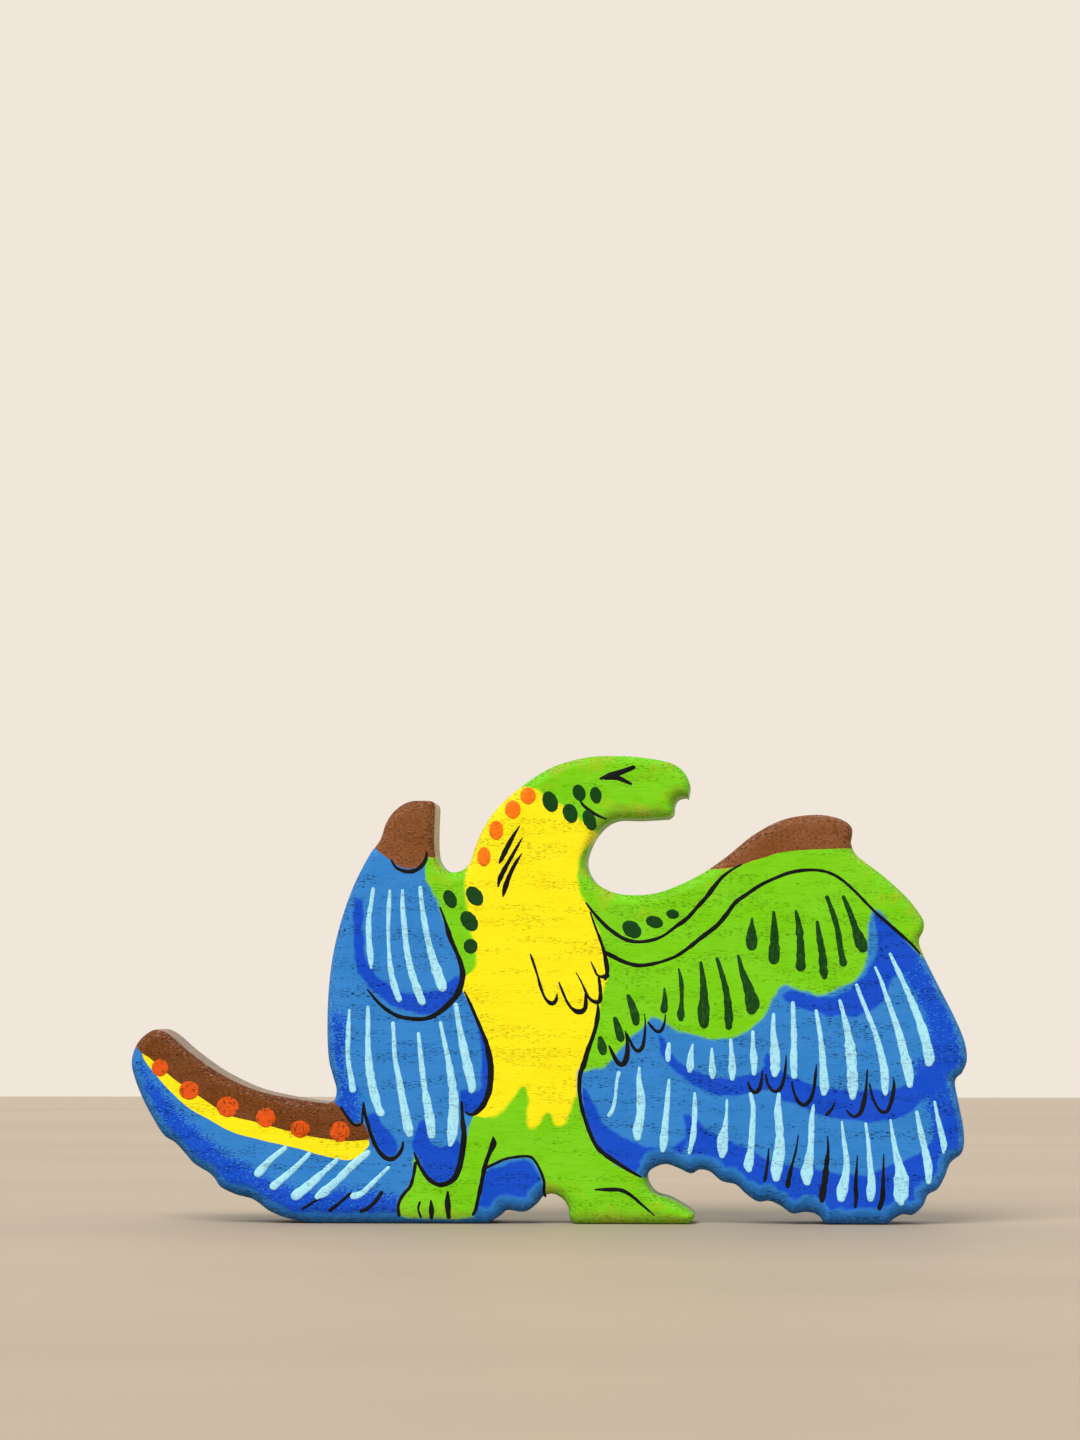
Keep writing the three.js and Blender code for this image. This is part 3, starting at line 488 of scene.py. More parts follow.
# ---------------------------------------------------------------- plane geometry
def catmull_rom(rows, per_span):
    """A smooth line through the rows, with per_span points to each span."""
    rows = np.asarray(rows, dtype=float)
    last = len(rows) - 1
    line = []
    for i in range(last):
        before = rows[max(i - 1, 0)]
        start = rows[i]
        end = rows[i + 1]
        after = rows[min(i + 2, last)]
        slope = end - before
        bend = 2 * before - 5 * start + 4 * end - after
        twist = 3 * start - before - 3 * end + after
        for k in range(per_span):
            t = k / per_span
            line.append(0.5 * (2 * start + slope * t + bend * t ** 2 + twist * t ** 3))
    line.append(rows[-1])
    return np.array(line)


def evenly(line, step):
    """The line again, with its ends kept and rows about one step apart."""
    lengths = np.hypot(*np.diff(line[:, :2], axis=0).T)
    travelled = np.concatenate([[0], np.cumsum(lengths)])
    count = max(2, int(round(travelled[-1] / step)) + 1)
    places = np.linspace(0, travelled[-1], count)
    return np.column_stack([np.interp(places, travelled, column) for column in line.T])


def silhouette():
    """The board's outline as one ring of points, anticlockwise seen from the front."""
    runs = [evenly(catmull_rom(run, per_span=16), OUTLINE_STEP)[:-1] for run in OUTLINE_RUNS]
    return np.concatenate(runs)[::-1]


def distance_to_line(points, line):
    """Distance of each point to an open line of segments."""
    start_x, start_z = line[:-1].T
    run_x, run_z = (line[1:] - line[:-1]).T
    squared = np.maximum(run_x ** 2 + run_z ** 2, TINY)
    nearest = np.empty(len(points))
    for first in range(0, len(points), POINT_BLOCK):
        block = points[first:first + POINT_BLOCK]
        gap_x = block[:, :1] - start_x
        gap_z = block[:, 1:] - start_z
        share = np.clip((gap_x * run_x + gap_z * run_z) / squared, 0, 1)
        gap_x -= share * run_x
        gap_z -= share * run_z
        nearest[first:first + POINT_BLOCK] = np.sqrt((gap_x ** 2 + gap_z ** 2).min(axis=1))
    return nearest


def inside(points, ring):
    """True for each point inside the ring."""
    x = points[:, 0]
    z = points[:, 1]
    odd = np.zeros(len(points), dtype=bool)
    for a, b in zip(ring, np.roll(ring, -1, axis=0)):
        crosses = (a[1] > z) != (b[1] > z)
        if a[1] != b[1]:
            odd ^= crosses & (x < (b[0] - a[0]) * (z - a[1]) / (b[1] - a[1]) + a[0])
    return odd


def depth_inside(points, ring):
    """Distance to the ring, above zero inside it."""
    closed = np.vstack([ring, ring[:1]])
    gap = distance_to_line(points, closed)
    return np.where(inside(points, ring), gap, -gap)


def deepest(points, rings):
    """The depth inside whichever ring holds each point best."""
    return np.max([depth_inside(points, ring) for ring in rings], axis=0)


def holder(points, rings):
    """The number of the ring that holds each point."""
    found = np.full(len(points), -1)
    for n, ring in enumerate(rings):
        found[inside(points, ring) & (found < 0)] = n
    lost = found < 0
    if lost.any():
        found[lost] = np.argmax([depth_inside(points[lost], ring) for ring in rings], axis=0)
    return found


def front_face(depth):
    """How far behind the front plane the rounded face lies, at this depth inside the silhouette."""
    from_edge = np.clip(depth, 0, EDGE_RADIUS)
    return EDGE_RADIUS - np.sqrt(EDGE_RADIUS ** 2 - (EDGE_RADIUS - from_edge) ** 2)


OUTLINE = silhouette()
OUTLINE_CLOSED = np.vstack([OUTLINE, OUTLINE[:1]])


def border_line(border):
    """A drawn border as a smooth line of short steps."""
    return evenly(catmull_rom(border, per_span=12), OUTLINE_STEP)


def area_ring(borders):
    """One ring round a colour area, smooth along each drawn border and straight past each single corner."""
    return np.concatenate([border_line(border)[:-1] if len(border) > 1 else border for border in borders])


AREA_RINGS = {name: area_ring(borders) for name, (_, borders) in AREAS.items()}


# ---------------------------------------------------------------- the painted surface
def rim_points():
    """Rows of points just inside the silhouette, close together where the edge is rounded."""
    after = np.roll(OUTLINE, -1, axis=0) - OUTLINE
    before = OUTLINE - np.roll(OUTLINE, 1, axis=0)
    turn = after / np.hypot(*after.T)[:, None] + before / np.hypot(*before.T)[:, None]
    inward = np.column_stack([-turn[:, 1], turn[:, 0]])
    inward /= np.maximum(np.hypot(*inward.T), TINY)[:, None]
    rows = []
    for reach in RIM_INSETS:
        moved = OUTLINE + inward * reach
        true_depth = distance_to_line(moved, OUTLINE_CLOSED)
        rows.append(moved[(true_depth > RIM_KEPT * reach) & inside(moved, OUTLINE)])
    return np.concatenate(rows)


def face_points():
    """Points in a triangular lattice over the flat part of the face."""
    low = OUTLINE.min(axis=0)
    high = OUTLINE.max(axis=0)
    rows = np.arange(low[1], high[1], FACE_STEP * TRIANGLE_HEIGHT)
    lattice = [(x + (FACE_STEP / 2 if i % 2 else 0), z)
               for i, z in enumerate(rows) for x in np.arange(low[0], high[0], FACE_STEP)]
    lattice = np.array(lattice)
    lattice = lattice[inside(lattice, OUTLINE)]
    return lattice[distance_to_line(lattice, OUTLINE_CLOSED) > RIM_INSETS[-2] + FACE_STEP / 2]


def smooth_ring(points):
    """A closed smooth line through the points."""
    wrapped = points[-2:] + points + points[:2]
    return catmull_rom(wrapped, per_span=4)[8:-8]


def border_lines():
    """Every colour border once, as a smooth line of short steps."""
    lines = {}
    for _, borders in AREAS.values():
        for border in borders:
            if len(border) > 1:
                lines.setdefault(frozenset(border), border_line(border))
    return list(lines.values())


def triangulated():
    """Points and triangles of the front face, with the silhouette and all colour borders as edges."""
    borders = border_lines()
    free = np.concatenate([rim_points(), face_points()])
    for line in borders:
        free = free[distance_to_line(free, line) > BORDER_CLEARANCE]
    count = len(OUTLINE)
    edges = [(i, (i + 1) % count) for i in range(count)]
    for line in borders:
        edges += [(count + i, count + i + 1) for i in range(len(line) - 1)]
        count += len(line)
    everything = np.concatenate([OUTLINE, *borders, free])
    made = delaunay_2d_cdt([Vector(p) for p in everything], edges, [], 0, TOUCHING, False)
    flat = np.array([(v.x, v.y) for v in made[0]])
    triangles = np.array([list(face) for face in made[2]])
    centres = flat[triangles].mean(axis=1)
    return flat, triangles[inside(centres, OUTLINE)]


def place(flat, behind_front):
    """Points of the drawing put on the front face, in millimetres of the part's frame."""
    return np.column_stack([flat[:, 0] + LEFT, -HALF_DEPTH + behind_front, flat[:, 1]])


def new_object(name, vertices, faces, flat_faces=()):
    """A mesh object in metres from vertices in millimetres."""
    mesh = bpy.data.meshes.new(name)
    mesh.from_pydata((np.asarray(vertices) * MM).tolist(), [], [list(map(int, f)) for f in faces])
    mesh.validate()
    smooth = np.ones(len(mesh.polygons), dtype=bool)
    smooth[list(flat_faces)] = False
    mesh.polygons.foreach_set("use_smooth", smooth)
    made = bpy.data.objects.new(name, mesh)
    bpy.context.scene.collection.objects.link(made)
    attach(made, "root")
    return made


def set_attribute(made, name, values):
    """A number at each vertex, for the material to read."""
    layer = made.data.attributes.new(name, "FLOAT", "POINT")
    layer.data.foreach_set("value", np.asarray(values, dtype=np.float32))


def open_edges(triangles):
    """The edges that belong to one triangle only, each in that triangle's direction."""
    edges = dict.fromkeys(edge for a, b, c in triangles for edge in ((a, b), (b, c), (c, a)))
    return [edge for edge in edges if edge[::-1] not in edges]


def wall_columns(front, rear, rim):
    """Points down the side wall behind each rim point, and each column's numbers from front to rear."""
    count = len(front)
    shares = np.linspace(0, 1, WALL_STEPS + 1)[1:-1]
    points = [front[v] + shares[:, None] * (rear[v] - front[v]) for v in rim]
    columns = {}
    for n, v in enumerate(rim):
        first = 2 * count + n * len(shares)
        columns[v] = [v, *range(first, first + len(shares)), v + count]
    return points, columns


def walls_between(rims, columns, lay, on_outline):
    """Faces that join front and rear: strips down the board's side, a plain wall at each inner border."""
    count = len(lay)
    faces = []
    plain = []
    for a, b in rims:
        middle = (lay[a] + lay[b])[None] / 2
        off_line = distance_to_line(middle, OUTLINE_CLOSED)[0]
        if on_outline[a] and on_outline[b] and off_line < ALONG_OUTLINE:
            near = columns[a]
            far = columns[b]
            faces += [(far[i], near[i], near[i + 1], far[i + 1]) for i in range(WALL_STEPS)]
        else:
            near = columns.get(a, [a, a + count])
            far = columns.get(b, [b, b + count])
            plain.append(len(faces))
            faces.append(tuple(far[:1] + near + far[:0:-1]))
    return faces, plain


def coat_piece(name, flat, triangles, depth, marks):
    """One colour area as a closed body: painted front, rear and outer edge, plain walls at its borders."""
    used = np.unique(triangles)
    local = np.full(len(flat), -1)
    local[used] = np.arange(len(used))
    triangles = local[triangles]
    count = len(used)
    front = place(flat[used], front_face(depth[used]))
    rear = front * (1, -1, 1)
    rims = open_edges(triangles)
    on_outline = depth[used] < TOUCHING
    rim = sorted({v for edge in rims for v in edge if on_outline[v]})
    points, columns = wall_columns(front, rear, rim)
    walls, plain = walls_between(rims, columns, flat[used], on_outline)
    faces = [tuple(t) for t in triangles]
    faces += [(c + count, b + count, a + count) for a, b, c in triangles]
    plain = [len(faces) + n for n in plain]
    made = new_object(name, np.vstack([front, rear, *points]), faces + walls, plain)
    sources = [*range(count), *range(count), *(v for v in rim for _ in range(WALL_STEPS - 1))]
    for key, values in marks.items():
        set_attribute(made, key, values[used][sources])
    sharpen_flat_borders(made)
    return made


def sharpen_flat_borders(made):
    """Keep edges between smooth and flat faces sharp, so that the paint's shading runs on past a border."""
    mesh = made.data
    kinds = {}
    for polygon in mesh.polygons:
        for key in polygon.edge_keys:
            kinds.setdefault(key, set()).add(polygon.use_smooth)
    for edge in mesh.edges:
        edge.use_edge_sharp = len(kinds.get(edge.key, ())) > 1


# ---------------------------------------------------------------- brush strokes: thin skins of paint
def stroke_rows(rows, spread, random):
    """A stroke's smooth centre line with its half widths, round at the ends and slightly uneven."""
    line = evenly(catmull_rom(rows, per_span=10), STROKE_STEP)
    knots = np.arange(0, len(line) + WOBBLE_ROWS, WOBBLE_ROWS)
    wobble = np.interp(np.arange(len(line)), knots, random.normal(0, WOBBLE, len(knots)))
    half = np.maximum(line[:, 2], THINNEST) / 2 * spread * (1 + wobble)
    centre = line[:, :2]
    direction = np.gradient(centre, axis=0)
    direction /= np.maximum(np.hypot(*direction.T), TINY)[:, None]
    start_centres, start_halves = cap_rows(centre[0], -direction[0], half[0])
    end_centres, end_halves = cap_rows(centre[-1], direction[-1], half[-1])
    centres = np.vstack([start_centres[::-1], centre, end_centres])
    halves = np.concatenate([start_halves[::-1], half, end_halves])
    caps = len(CAP_ANGLES)
    return centres, halves, np.pad(direction, ((caps, caps), (0, 0)), mode="edge")


def cap_rows(end, outward, half):
    """Rows that round off a stroke's end."""
    angles = np.radians(CAP_ANGLES)
    return end + np.sin(angles)[:, None] * outward * half, np.cos(angles) * half


def stroke_mesh(rows, spread, height, random):
    """Vertices and faces of one stroke on the front face: a domed top and a flat underside in the paint."""
    centres, halves, directions = stroke_rows(rows, spread, random)
    across = np.linspace(-1, 1, STROKE_COLUMNS)
    normal = np.column_stack([directions[:, 1], -directions[:, 0]])
    plane = centres[:, None, :] + across[None, :, None] * halves[:, None, None] * normal[:, None, :]
    return domed_skin(plane, across, height)


def dot_mesh(dot, height, random):
    """Vertices and faces of one dot, as a short stroke across its long axis."""
    along, up, half_width, half_height, lean = dot
    half_width *= DOT_SPREAD
    half_height *= DOT_SPREAD
    angles = np.radians(DOT_ANGLES)
    tilt = math.radians(lean)
    axis = np.array([-math.sin(tilt), math.cos(tilt)])
    normal = np.array([math.cos(tilt), math.sin(tilt)])
    across = np.linspace(-1, 1, STROKE_COLUMNS + 2)
    uneven = 1 + random.normal(0, DOT_WOBBLE, len(angles))
    centres = np.array([along, up]) + np.sin(angles)[:, None] * axis * half_height
    halves = np.cos(angles) * half_width * uneven
    plane = centres[:, None, :] + across[None, :, None] * halves[:, None, None] * normal
    return domed_skin(plane, across, height)


def domed_skin(plane, across, height):
    """A closed skin over a grid of points: a dome of the given height, sunk a little at its rim."""
    rows, columns = plane.shape[:2]
    flat = plane.reshape(-1, 2)
    depth = distance_to_line(flat, OUTLINE_CLOSED)
    depth = np.where(inside(flat, OUTLINE), depth, 0)
    dome = np.tile(height * (1 - across ** 4) - SKIN_SUNK, (rows, 1))
    dome[[0, -1]] = -SKIN_SUNK
    surface = front_face(depth)
    top = place(flat, surface - dome.reshape(-1))
    bottom = place(flat, surface + 2 * SKIN_SUNK)
    size = rows * columns
    faces = []
    for i in range(rows - 1):
        for j in range(columns - 1):
            a = i * columns + j
            faces.append((a, a + 1, a + columns + 1, a + columns))
            faces.append((a + size, a + columns + size, a + columns + 1 + size, a + 1 + size))
    ring = [*range(columns)] + [i * columns + columns - 1 for i in range(1, rows)]
    ring += [(rows - 1) * columns + j for j in range(columns - 2, -1, -1)]
    ring += [i * columns for i in range(rows - 2, 0, -1)]
    faces += [(b, a, a + size, b + size) for a, b in zip(ring, ring[1:] + ring[:1])]
    return np.vstack([top, bottom]), faces, np.tile(across, rows * 2)


def strokes_piece(name, meshes):
    """One object from many skins, each with its mirror image on the rear."""
    vertices = []
    faces = []
    across = []
    for skin, skin_faces, shares in meshes:
        for flip in (1, -1):
            start = sum(len(v) for v in vertices)
            vertices.append(skin * (1, flip, 1))
            faces += [tuple(start + i for i in (f if flip > 0 else f[::-1])) for f in skin_faces]
            across.append(shares)
    made = new_object(name, np.vstack(vertices), faces)
    set_attribute(made, "across", np.concatenate(across))
    return made


# ---------------------------------------------------------------- node helpers
class Nodes:
    """A material under construction, with short names for the nodes it uses."""

    def __init__(self, name):
        self.material = bpy.data.materials.new(name)
        self.material.use_nodes = True
        self.tree = self.material.node_tree
        self.tree.nodes.clear()

    def add(self, kind, **settings):
        """A new node of this kind."""
        node = self.tree.nodes.new(kind)
        for key, value in settings.items():
            setattr(node, key, value)
        return node

    def feed(self, socket, value):
        """Give an input a constant, or link it to another node's output."""
        if hasattr(value, "links"):
            self.tree.links.new(value, socket)
        else:
            socket.default_value = value

    def math(self, operation, a, b=0.0):
        """One operation on one or two values."""
        node = self.add("ShaderNodeMath", operation=operation)
        self.feed(node.inputs[0], a)
        self.feed(node.inputs[1], b)
        return node.outputs[0]

    def times(self, a, b):
        """One value times another."""
        return self.math("MULTIPLY", a, b)

    def plus(self, a, b, factor):
        """A value with some of another one added."""
        return self.math("ADD", a, self.times(b, factor))

    def ramp(self, value, low, high, start=0.0, end=1.0):
        """A soft step from start to end while the value goes from low to high."""
        node = self.add("ShaderNodeMapRange", interpolation_type="SMOOTHSTEP")
        for socket, entry in zip(node.inputs, (value, low, high, start, end)):
            self.feed(socket, entry)
        return node.outputs[0]

    def mix(self, share, a, b, blend="MIX"):
        """Colour a with this share of colour b in it."""
        node = self.add("ShaderNodeMix", data_type="RGBA", blend_type=blend)
        self.feed(node.inputs[0], share)
        self.feed(node.inputs[6], a)
        self.feed(node.inputs[7], b)
        return node.outputs[2]

    def millimetres(self):
        """The object's own coordinates, in millimetres."""
        place_in = self.add("ShaderNodeTexCoord").outputs["Object"]
        return self.stretched(place_in, (1 / MM, 1 / MM, 1 / MM))

    def stretched(self, vector, factors):
        """Coordinates scaled along each axis."""
        node = self.add("ShaderNodeVectorMath", operation="MULTIPLY")
        self.feed(node.inputs[0], vector)
        node.inputs[1].default_value = factors
        return node.outputs[0]

    def noise(self, vector, scale, detail=2.0, roughness=0.5, distortion=0.0):
        """Smooth random values between 0 and 1."""
        node = self.add("ShaderNodeTexNoise")
        self.feed(node.inputs["Vector"], vector)
        node.inputs["Scale"].default_value = scale
        node.inputs["Detail"].default_value = detail
        node.inputs["Roughness"].default_value = roughness
        node.inputs["Distortion"].default_value = distortion
        return node.outputs[0]

    def swing(self, vector, scale, detail, roughness):
        """Smooth random values round 0."""
        return self.math("SUBTRACT", self.noise(vector, scale, detail, roughness), 0.5)

    def attribute(self, name):
        """A number that the mesh carries at each vertex."""
        node = self.add("ShaderNodeAttribute", attribute_name=name, attribute_type="GEOMETRY")
        return node.outputs["Fac"]

    def surface(self, base, roughness, bump, specular=0.5):
        """A painted or bare wood surface, from its colour, roughness and height in millimetres."""
        shader = self.add("ShaderNodeBsdfPrincipled")
        shader.inputs["Specular IOR Level"].default_value = specular
        self.feed(shader.inputs["Base Color"], base)
        self.feed(shader.inputs["Roughness"], roughness)
        relief = self.add("ShaderNodeBump")
        relief.inputs["Strength"].default_value = 1.0
        relief.inputs["Distance"].default_value = MM
        self.feed(relief.inputs["Height"], bump)
        self.tree.links.new(relief.outputs[0], shader.inputs["Normal"])
        output = self.add("ShaderNodeOutputMaterial")
        self.tree.links.new(shader.outputs[0], output.inputs[0])
        return self.material


# ---------------------------------------------------------------- materials
PAINT_SPECULAR = 0.04     # the paint is matt
STAGE_SPECULAR = 0.3
TIP_SHEEN_AND_BARENESS = 0.5        # how pale the side walls are painted: painted sheen, with the wood under thin paint
TAIL_SHEEN_AND_BARENESS = 0.3
SHEEN_AND_BARENESS = 0.15


def pores(make, mm):
    """The wood's open pores showing through the paint: short dark dashes in thin rows along the board."""
    fine = make.noise(make.stretched(mm, (0.95, 4.0, 7.5)), 1.0, 1.0, 0.4)
    rows = make.noise(make.stretched(mm, (0.07, 0.25, 0.45)), 1.0, 3.0, 0.65)
    limit = make.ramp(rows, 0.4, 0.62, 0.75, 0.572)
    return make.ramp(make.math("SUBTRACT", fine, limit), 0.0, 0.045)


def relief_of(make, mm, dashes):
    """Height of the painted surface: sunk pores, faint ridges of the grain, the ripple of brushed paint."""
    ridges = make.noise(make.stretched(mm, (0.12, 0.9, 1.5)), 1.0, 3.0, 0.6)
    ripple = make.noise(mm, 1.6, 2.0, 0.55)
    swell = make.noise(mm, 0.09, 1.0, 0.4)
    height = make.times(dashes, -0.035)
    for part, share in ((ridges, 0.05), (ripple, 0.022), (swell, 0.5)):
        height = make.plus(height, part, share)
    return height


def toned(make, mm, base, share=0.5):
    """A paint colour with the slow drifts of thicker and thinner paint over the wood."""
    slow = make.noise(make.stretched(mm, (0.10, 0.2, 0.22)), 1.0, 3.0, 0.6)
    streak = make.noise(make.stretched(mm, (0.3, 1.0, 2.4)), 1.0, 2.0, 0.5)
    darker = tuple(c * 0.72 for c in base[:3]) + (1.0,)
    lighter = tuple(min(1.0, c * 1.1 + 0.012) for c in base[:3]) + (1.0,)
    tone = make.mix(make.ramp(slow, 0.36, 0.66, 0.0, share), lighter, base)
    return make.mix(make.ramp(streak, 0.46, 0.76, 0.0, share * 0.7), tone, darker)


def share_of(make, attribute, waver, amount, shift=0.0):
    """How much of a paint lies here: none to full across its border, wavering where the border is soft."""
    soft = make.attribute("softness")
    moved = make.times(make.times(waver, amount), soft)
    low = make.times(soft, -0.5 - shift)
    high = make.times(soft, 0.5 - shift)
    return make.ramp(make.math("ADD", make.attribute(attribute), moved), low, high)


def deep_share(make, waver, speck, near_edge, flat_edge):
    """How much of the deep blue lies here: crisp shading and mottled bands, both faint at the edge."""
    clean_at = make.plus(make.attribute("shade_mm"), waver, 1.2)
    clean = make.ramp(make.plus(clean_at, speck, 0.4), -0.35, 0.4)
    mottle_at = make.math("MINIMUM", make.plus(make.attribute("mottle_mm"), waver, 2.4), 1.15)
    mottle = make.ramp(make.plus(mottle_at, speck, 10.0), -0.3, 0.4)
    clean = make.times(clean, make.ramp(flat_edge, 0.5, 1.5, 0.1, 1.0))
    mottle = make.times(mottle, make.ramp(near_edge, 0.5, 1.5, 0.1, 1.0))
    return make.math("MAXIMUM", clean, mottle)


def green_paint(make, mm, edge, rim, down_shade):
    """Green with olive stains on the rim, yellowish patches near it, and an olive painted shade where it
    faces down.
    """
    drift = make.noise(mm, 0.22, 3.0, 0.6)
    stain = make.times(make.ramp(drift, 0.48, 0.66), rim)
    green = make.mix(make.times(stain, 0.35), toned(make, mm, GREEN, 0.6), OLIVE)
    tired = make.times(make.ramp(edge, 1.0, 7.0, 1.0, 0.0), make.ramp(drift, 0.5, 0.64, 0.0, 0.5))
    green = make.mix(tired, green, YELLOW_OLIVE)
    # olive painted shade where the rim faces down
    return make.mix(make.times(down_shade, 0.4), green, OLIVE)


def brown_paint(make, mm, speck, paint):
    """Brown with dark pits and paler grains."""
    brown = make.mix(make.ramp(speck, 0.0, 0.2, 0.0, 0.75), toned(make, mm, paint, 0.9), DARK_BROWN)
    return make.mix(make.ramp(speck, -0.06, -0.2, 0.0, 0.65), brown, PALE_BROWN)


def ground_material(name, brown, sheen_and_bareness):
    """The painted areas: yellow, then blue, green and brown over it, worn at the rim, with painted shade on
    rims facing down and painted sheen with thin paint on the side walls.
    """
    make = Nodes(name)
    mm = make.millimetres()
    dashes = pores(make, mm)
    waver = make.swing(mm, 0.4, 1.0, 0.4)
    speck = make.swing(make.stretched(mm, (1.6, 3.0, 3.4)), 1.0, 2.0, 0.6)
    edge = make.attribute("edge_mm")
    under = make.attribute("under")
    wavy_edge = make.plus(edge, waver, 2.0)
    # where the rim faces down the deep blue stops further in, so the painted shade shows there
    near_edge = make.plus(wavy_edge, under, -1.1)
    flat_edge = make.plus(wavy_edge, under, -2.3)
    deep = deep_share(make, waver, speck, near_edge, flat_edge)
    # painted shade on rims that face down, strongest at the silhouette: blue darkens, green turns olive
    down_shade = make.times(under, make.ramp(flat_edge, -0.4, 1.2, 1.0, 0.0))
    rim = make.ramp(edge, 0.2, 2.2, 1.0, 0.0)
    blue = make.mix(deep, toned(make, mm, BLUE), toned(make, mm, DEEP_BLUE, 0.3))
    # painted shade under the down-facing rims
    blue = make.mix(make.times(down_shade, 0.5), blue, UNDERSIDE_SHADE, "MULTIPLY")
    tone = make.mix(share_of(make, "blue_mm", waver, -1.2, 0.5), toned(make, mm, YELLOW, 0.3), blue)
    tone = make.mix(share_of(make, "green_mm", waver, 1.2), tone, green_paint(make, mm, edge, rim, down_shade))
    tone = make.mix(share_of(make, "brown_mm", waver, 1.0), tone, brown_paint(make, mm, speck, brown))
    # painted sheen on the side walls, mixed towards the sawn wood under thin paint
    tone = make.mix(make.ramp(edge, 0.0, 0.1, sheen_and_bareness, 0.0), tone, SIDE_SHEEN_AND_WOOD)
    tone = make.mix(make.times(rim, make.ramp(speck, 0.03, 0.14, 0.0, 0.5)), tone, PORE)
    tone = make.mix(make.times(rim, make.ramp(speck, -0.08, -0.2, 0.0, 0.35)), tone, RUBBED)
    on_blue = make.ramp(make.attribute("blue_mm"), -0.2, 0.2, 0.5, 0.95)
    tone = make.mix(make.times(dashes, on_blue), tone, PORE_SHADE, "MULTIPLY")
    rough = make.ramp(make.noise(mm, 0.5, 2.0), 0.3, 0.7, 0.36, 0.5)
    return make.surface(tone, rough, relief_of(make, mm, dashes), PAINT_SPECULAR)


def stroke_material(name, paint, thin=None, spread=0.0):
    """Brush strokes: one paint, with patches where some of the ground shows through."""
    make = Nodes(name)
    mm = make.millimetres()
    dashes = pores(make, mm)
    tone = toned(make, mm, paint, 0.35)
    if thin:
        margin = make.ramp(make.math("ABSOLUTE", make.attribute("across")), 0.8, 1.0, 0.0, 0.35)
        patchy = make.noise(make.stretched(mm, (2.0, 1.0, 0.8)), 1.0, 3.0, 0.6)
        patch = make.ramp(patchy, 0.5, 0.68, 0.0, spread)
        tone = make.mix(make.math("MAXIMUM", margin, patch), tone, thin)
    tone = make.mix(make.times(dashes, 0.4), tone, PORE_SHADE, "MULTIPLY")
    rough = make.ramp(make.noise(mm, 0.8, 2.0), 0.3, 0.7, 0.3, 0.45)
    return make.surface(tone, rough, relief_of(make, mm, dashes), PAINT_SPECULAR)


def wood_material():
    """Bare pine: growth rings stretched along the board, with darker late wood and fine pores."""
    make = Nodes("bare_pine")
    mm = make.millimetres()
    bands = make.noise(make.stretched(mm, (0.012, 0.35, 0.5)), 1.0, 3.0, 0.55, 0.6)
    fibres = make.noise(make.stretched(mm, (0.2, 4.0, 4.0)), 1.0, 3.0, 0.6)
    tone = make.mix(make.ramp(bands, 0.42, 0.6), WOOD, WOOD_DARK)
    tone = make.mix(make.ramp(fibres, 0.5, 0.8, 0.0, 0.4), tone, WOOD_DARK)
    return make.surface(tone, make.ramp(fibres, 0.3, 0.7, 0.6, 0.8), make.times(fibres, 0.06))


def stage_material(name, base, roughness):
    """One pale colour with a trace of variation."""
    make = Nodes(name)
    mm = make.millimetres()
    broad = make.noise(make.stretched(mm, (0.002, 0.01, 0.01)), 1.0, 2.0)
    darker = tuple(c * 0.94 for c in base[:3]) + (1.0,)
    tone = make.mix(make.ramp(broad, 0.35, 0.65), base, darker)
    return make.surface(tone, roughness, make.times(broad, 0.05), STAGE_SPECULAR)


def finish_with(made, material):
    """Give an object its one material."""
    made.data.materials.clear()
    made.data.materials.append(material)


# ---------------------------------------------------------------- the painted figure
SOFT_BORDER = 1.0         # width of the blurred borders between green, blue and yellow
CRISP_BORDER = 0.12       # width of the crisp ones: along the left wing beside the chest, and in the boxes
CRISP_BOXES = (           # left, bottom, right, top: round the tail's stripe and the two brown tips
    (-5, 12, 50, 45),
    (-5, 70, 62, 100),
    (112, 70, 175, 100),
)
AREA_SHADES = {           # the brown of an area and the painted sheen and thin paint of its side walls, where they differ
    "left_wing_tip_coat": (TIP_BROWN, TIP_SHEEN_AND_BARENESS),
    "right_wing_tip_coat": (TIP_BROWN, TIP_SHEEN_AND_BARENESS),
    "tail_back_coat": (BROWN, TAIL_SHEEN_AND_BARENESS),
}


def marks_at(flat):
    """What the paint needs to know at each point: how far it is inside each colour."""
    def rings(paint):
        """The rings of all areas in one paint."""
        return [AREA_RINGS[name] for name, (slot, _) in AREAS.items() if slot == paint]

    spots = OUTLINE[::2]
    nearest = np.array([np.argmin(((spots - p) ** 2).sum(axis=1)) for p in flat])
    heading = (np.roll(spots, -1, axis=0) - spots)[nearest]
    facing_down = heading[:, 0] / np.maximum(np.hypot(*heading.T), TINY)
    along, height = flat.T
    crisp = distance_to_line(flat, catmull_rom(WING_CHEST, per_span=8)) < EDGE_RADIUS
    for left, bottom, right, top in CRISP_BOXES:
        crisp |= (along > left) & (along < right) & (height > bottom) & (height < top)
    return {
        "edge_mm": np.maximum(depth_inside(flat, OUTLINE), 0),
        # how much the nearest edge faces down, for the painted shade on those rims
        "under": np.clip(facing_down, 0, 1),
        "green_mm": deepest(flat, rings("green_paint")),
        "brown_mm": deepest(flat, rings("brown_paint")),
        "blue_mm": deepest(flat, rings("blue_paint")),
        "shade_mm": deepest(flat, [smooth_ring(ring) for ring in CLEAN_SHADING.values()]),
        "mottle_mm": deepest(flat, [smooth_ring(ring) for ring in MOTTLED_SHADING.values()]),
        "softness": np.where(crisp, CRISP_BORDER, SOFT_BORDER),
    }


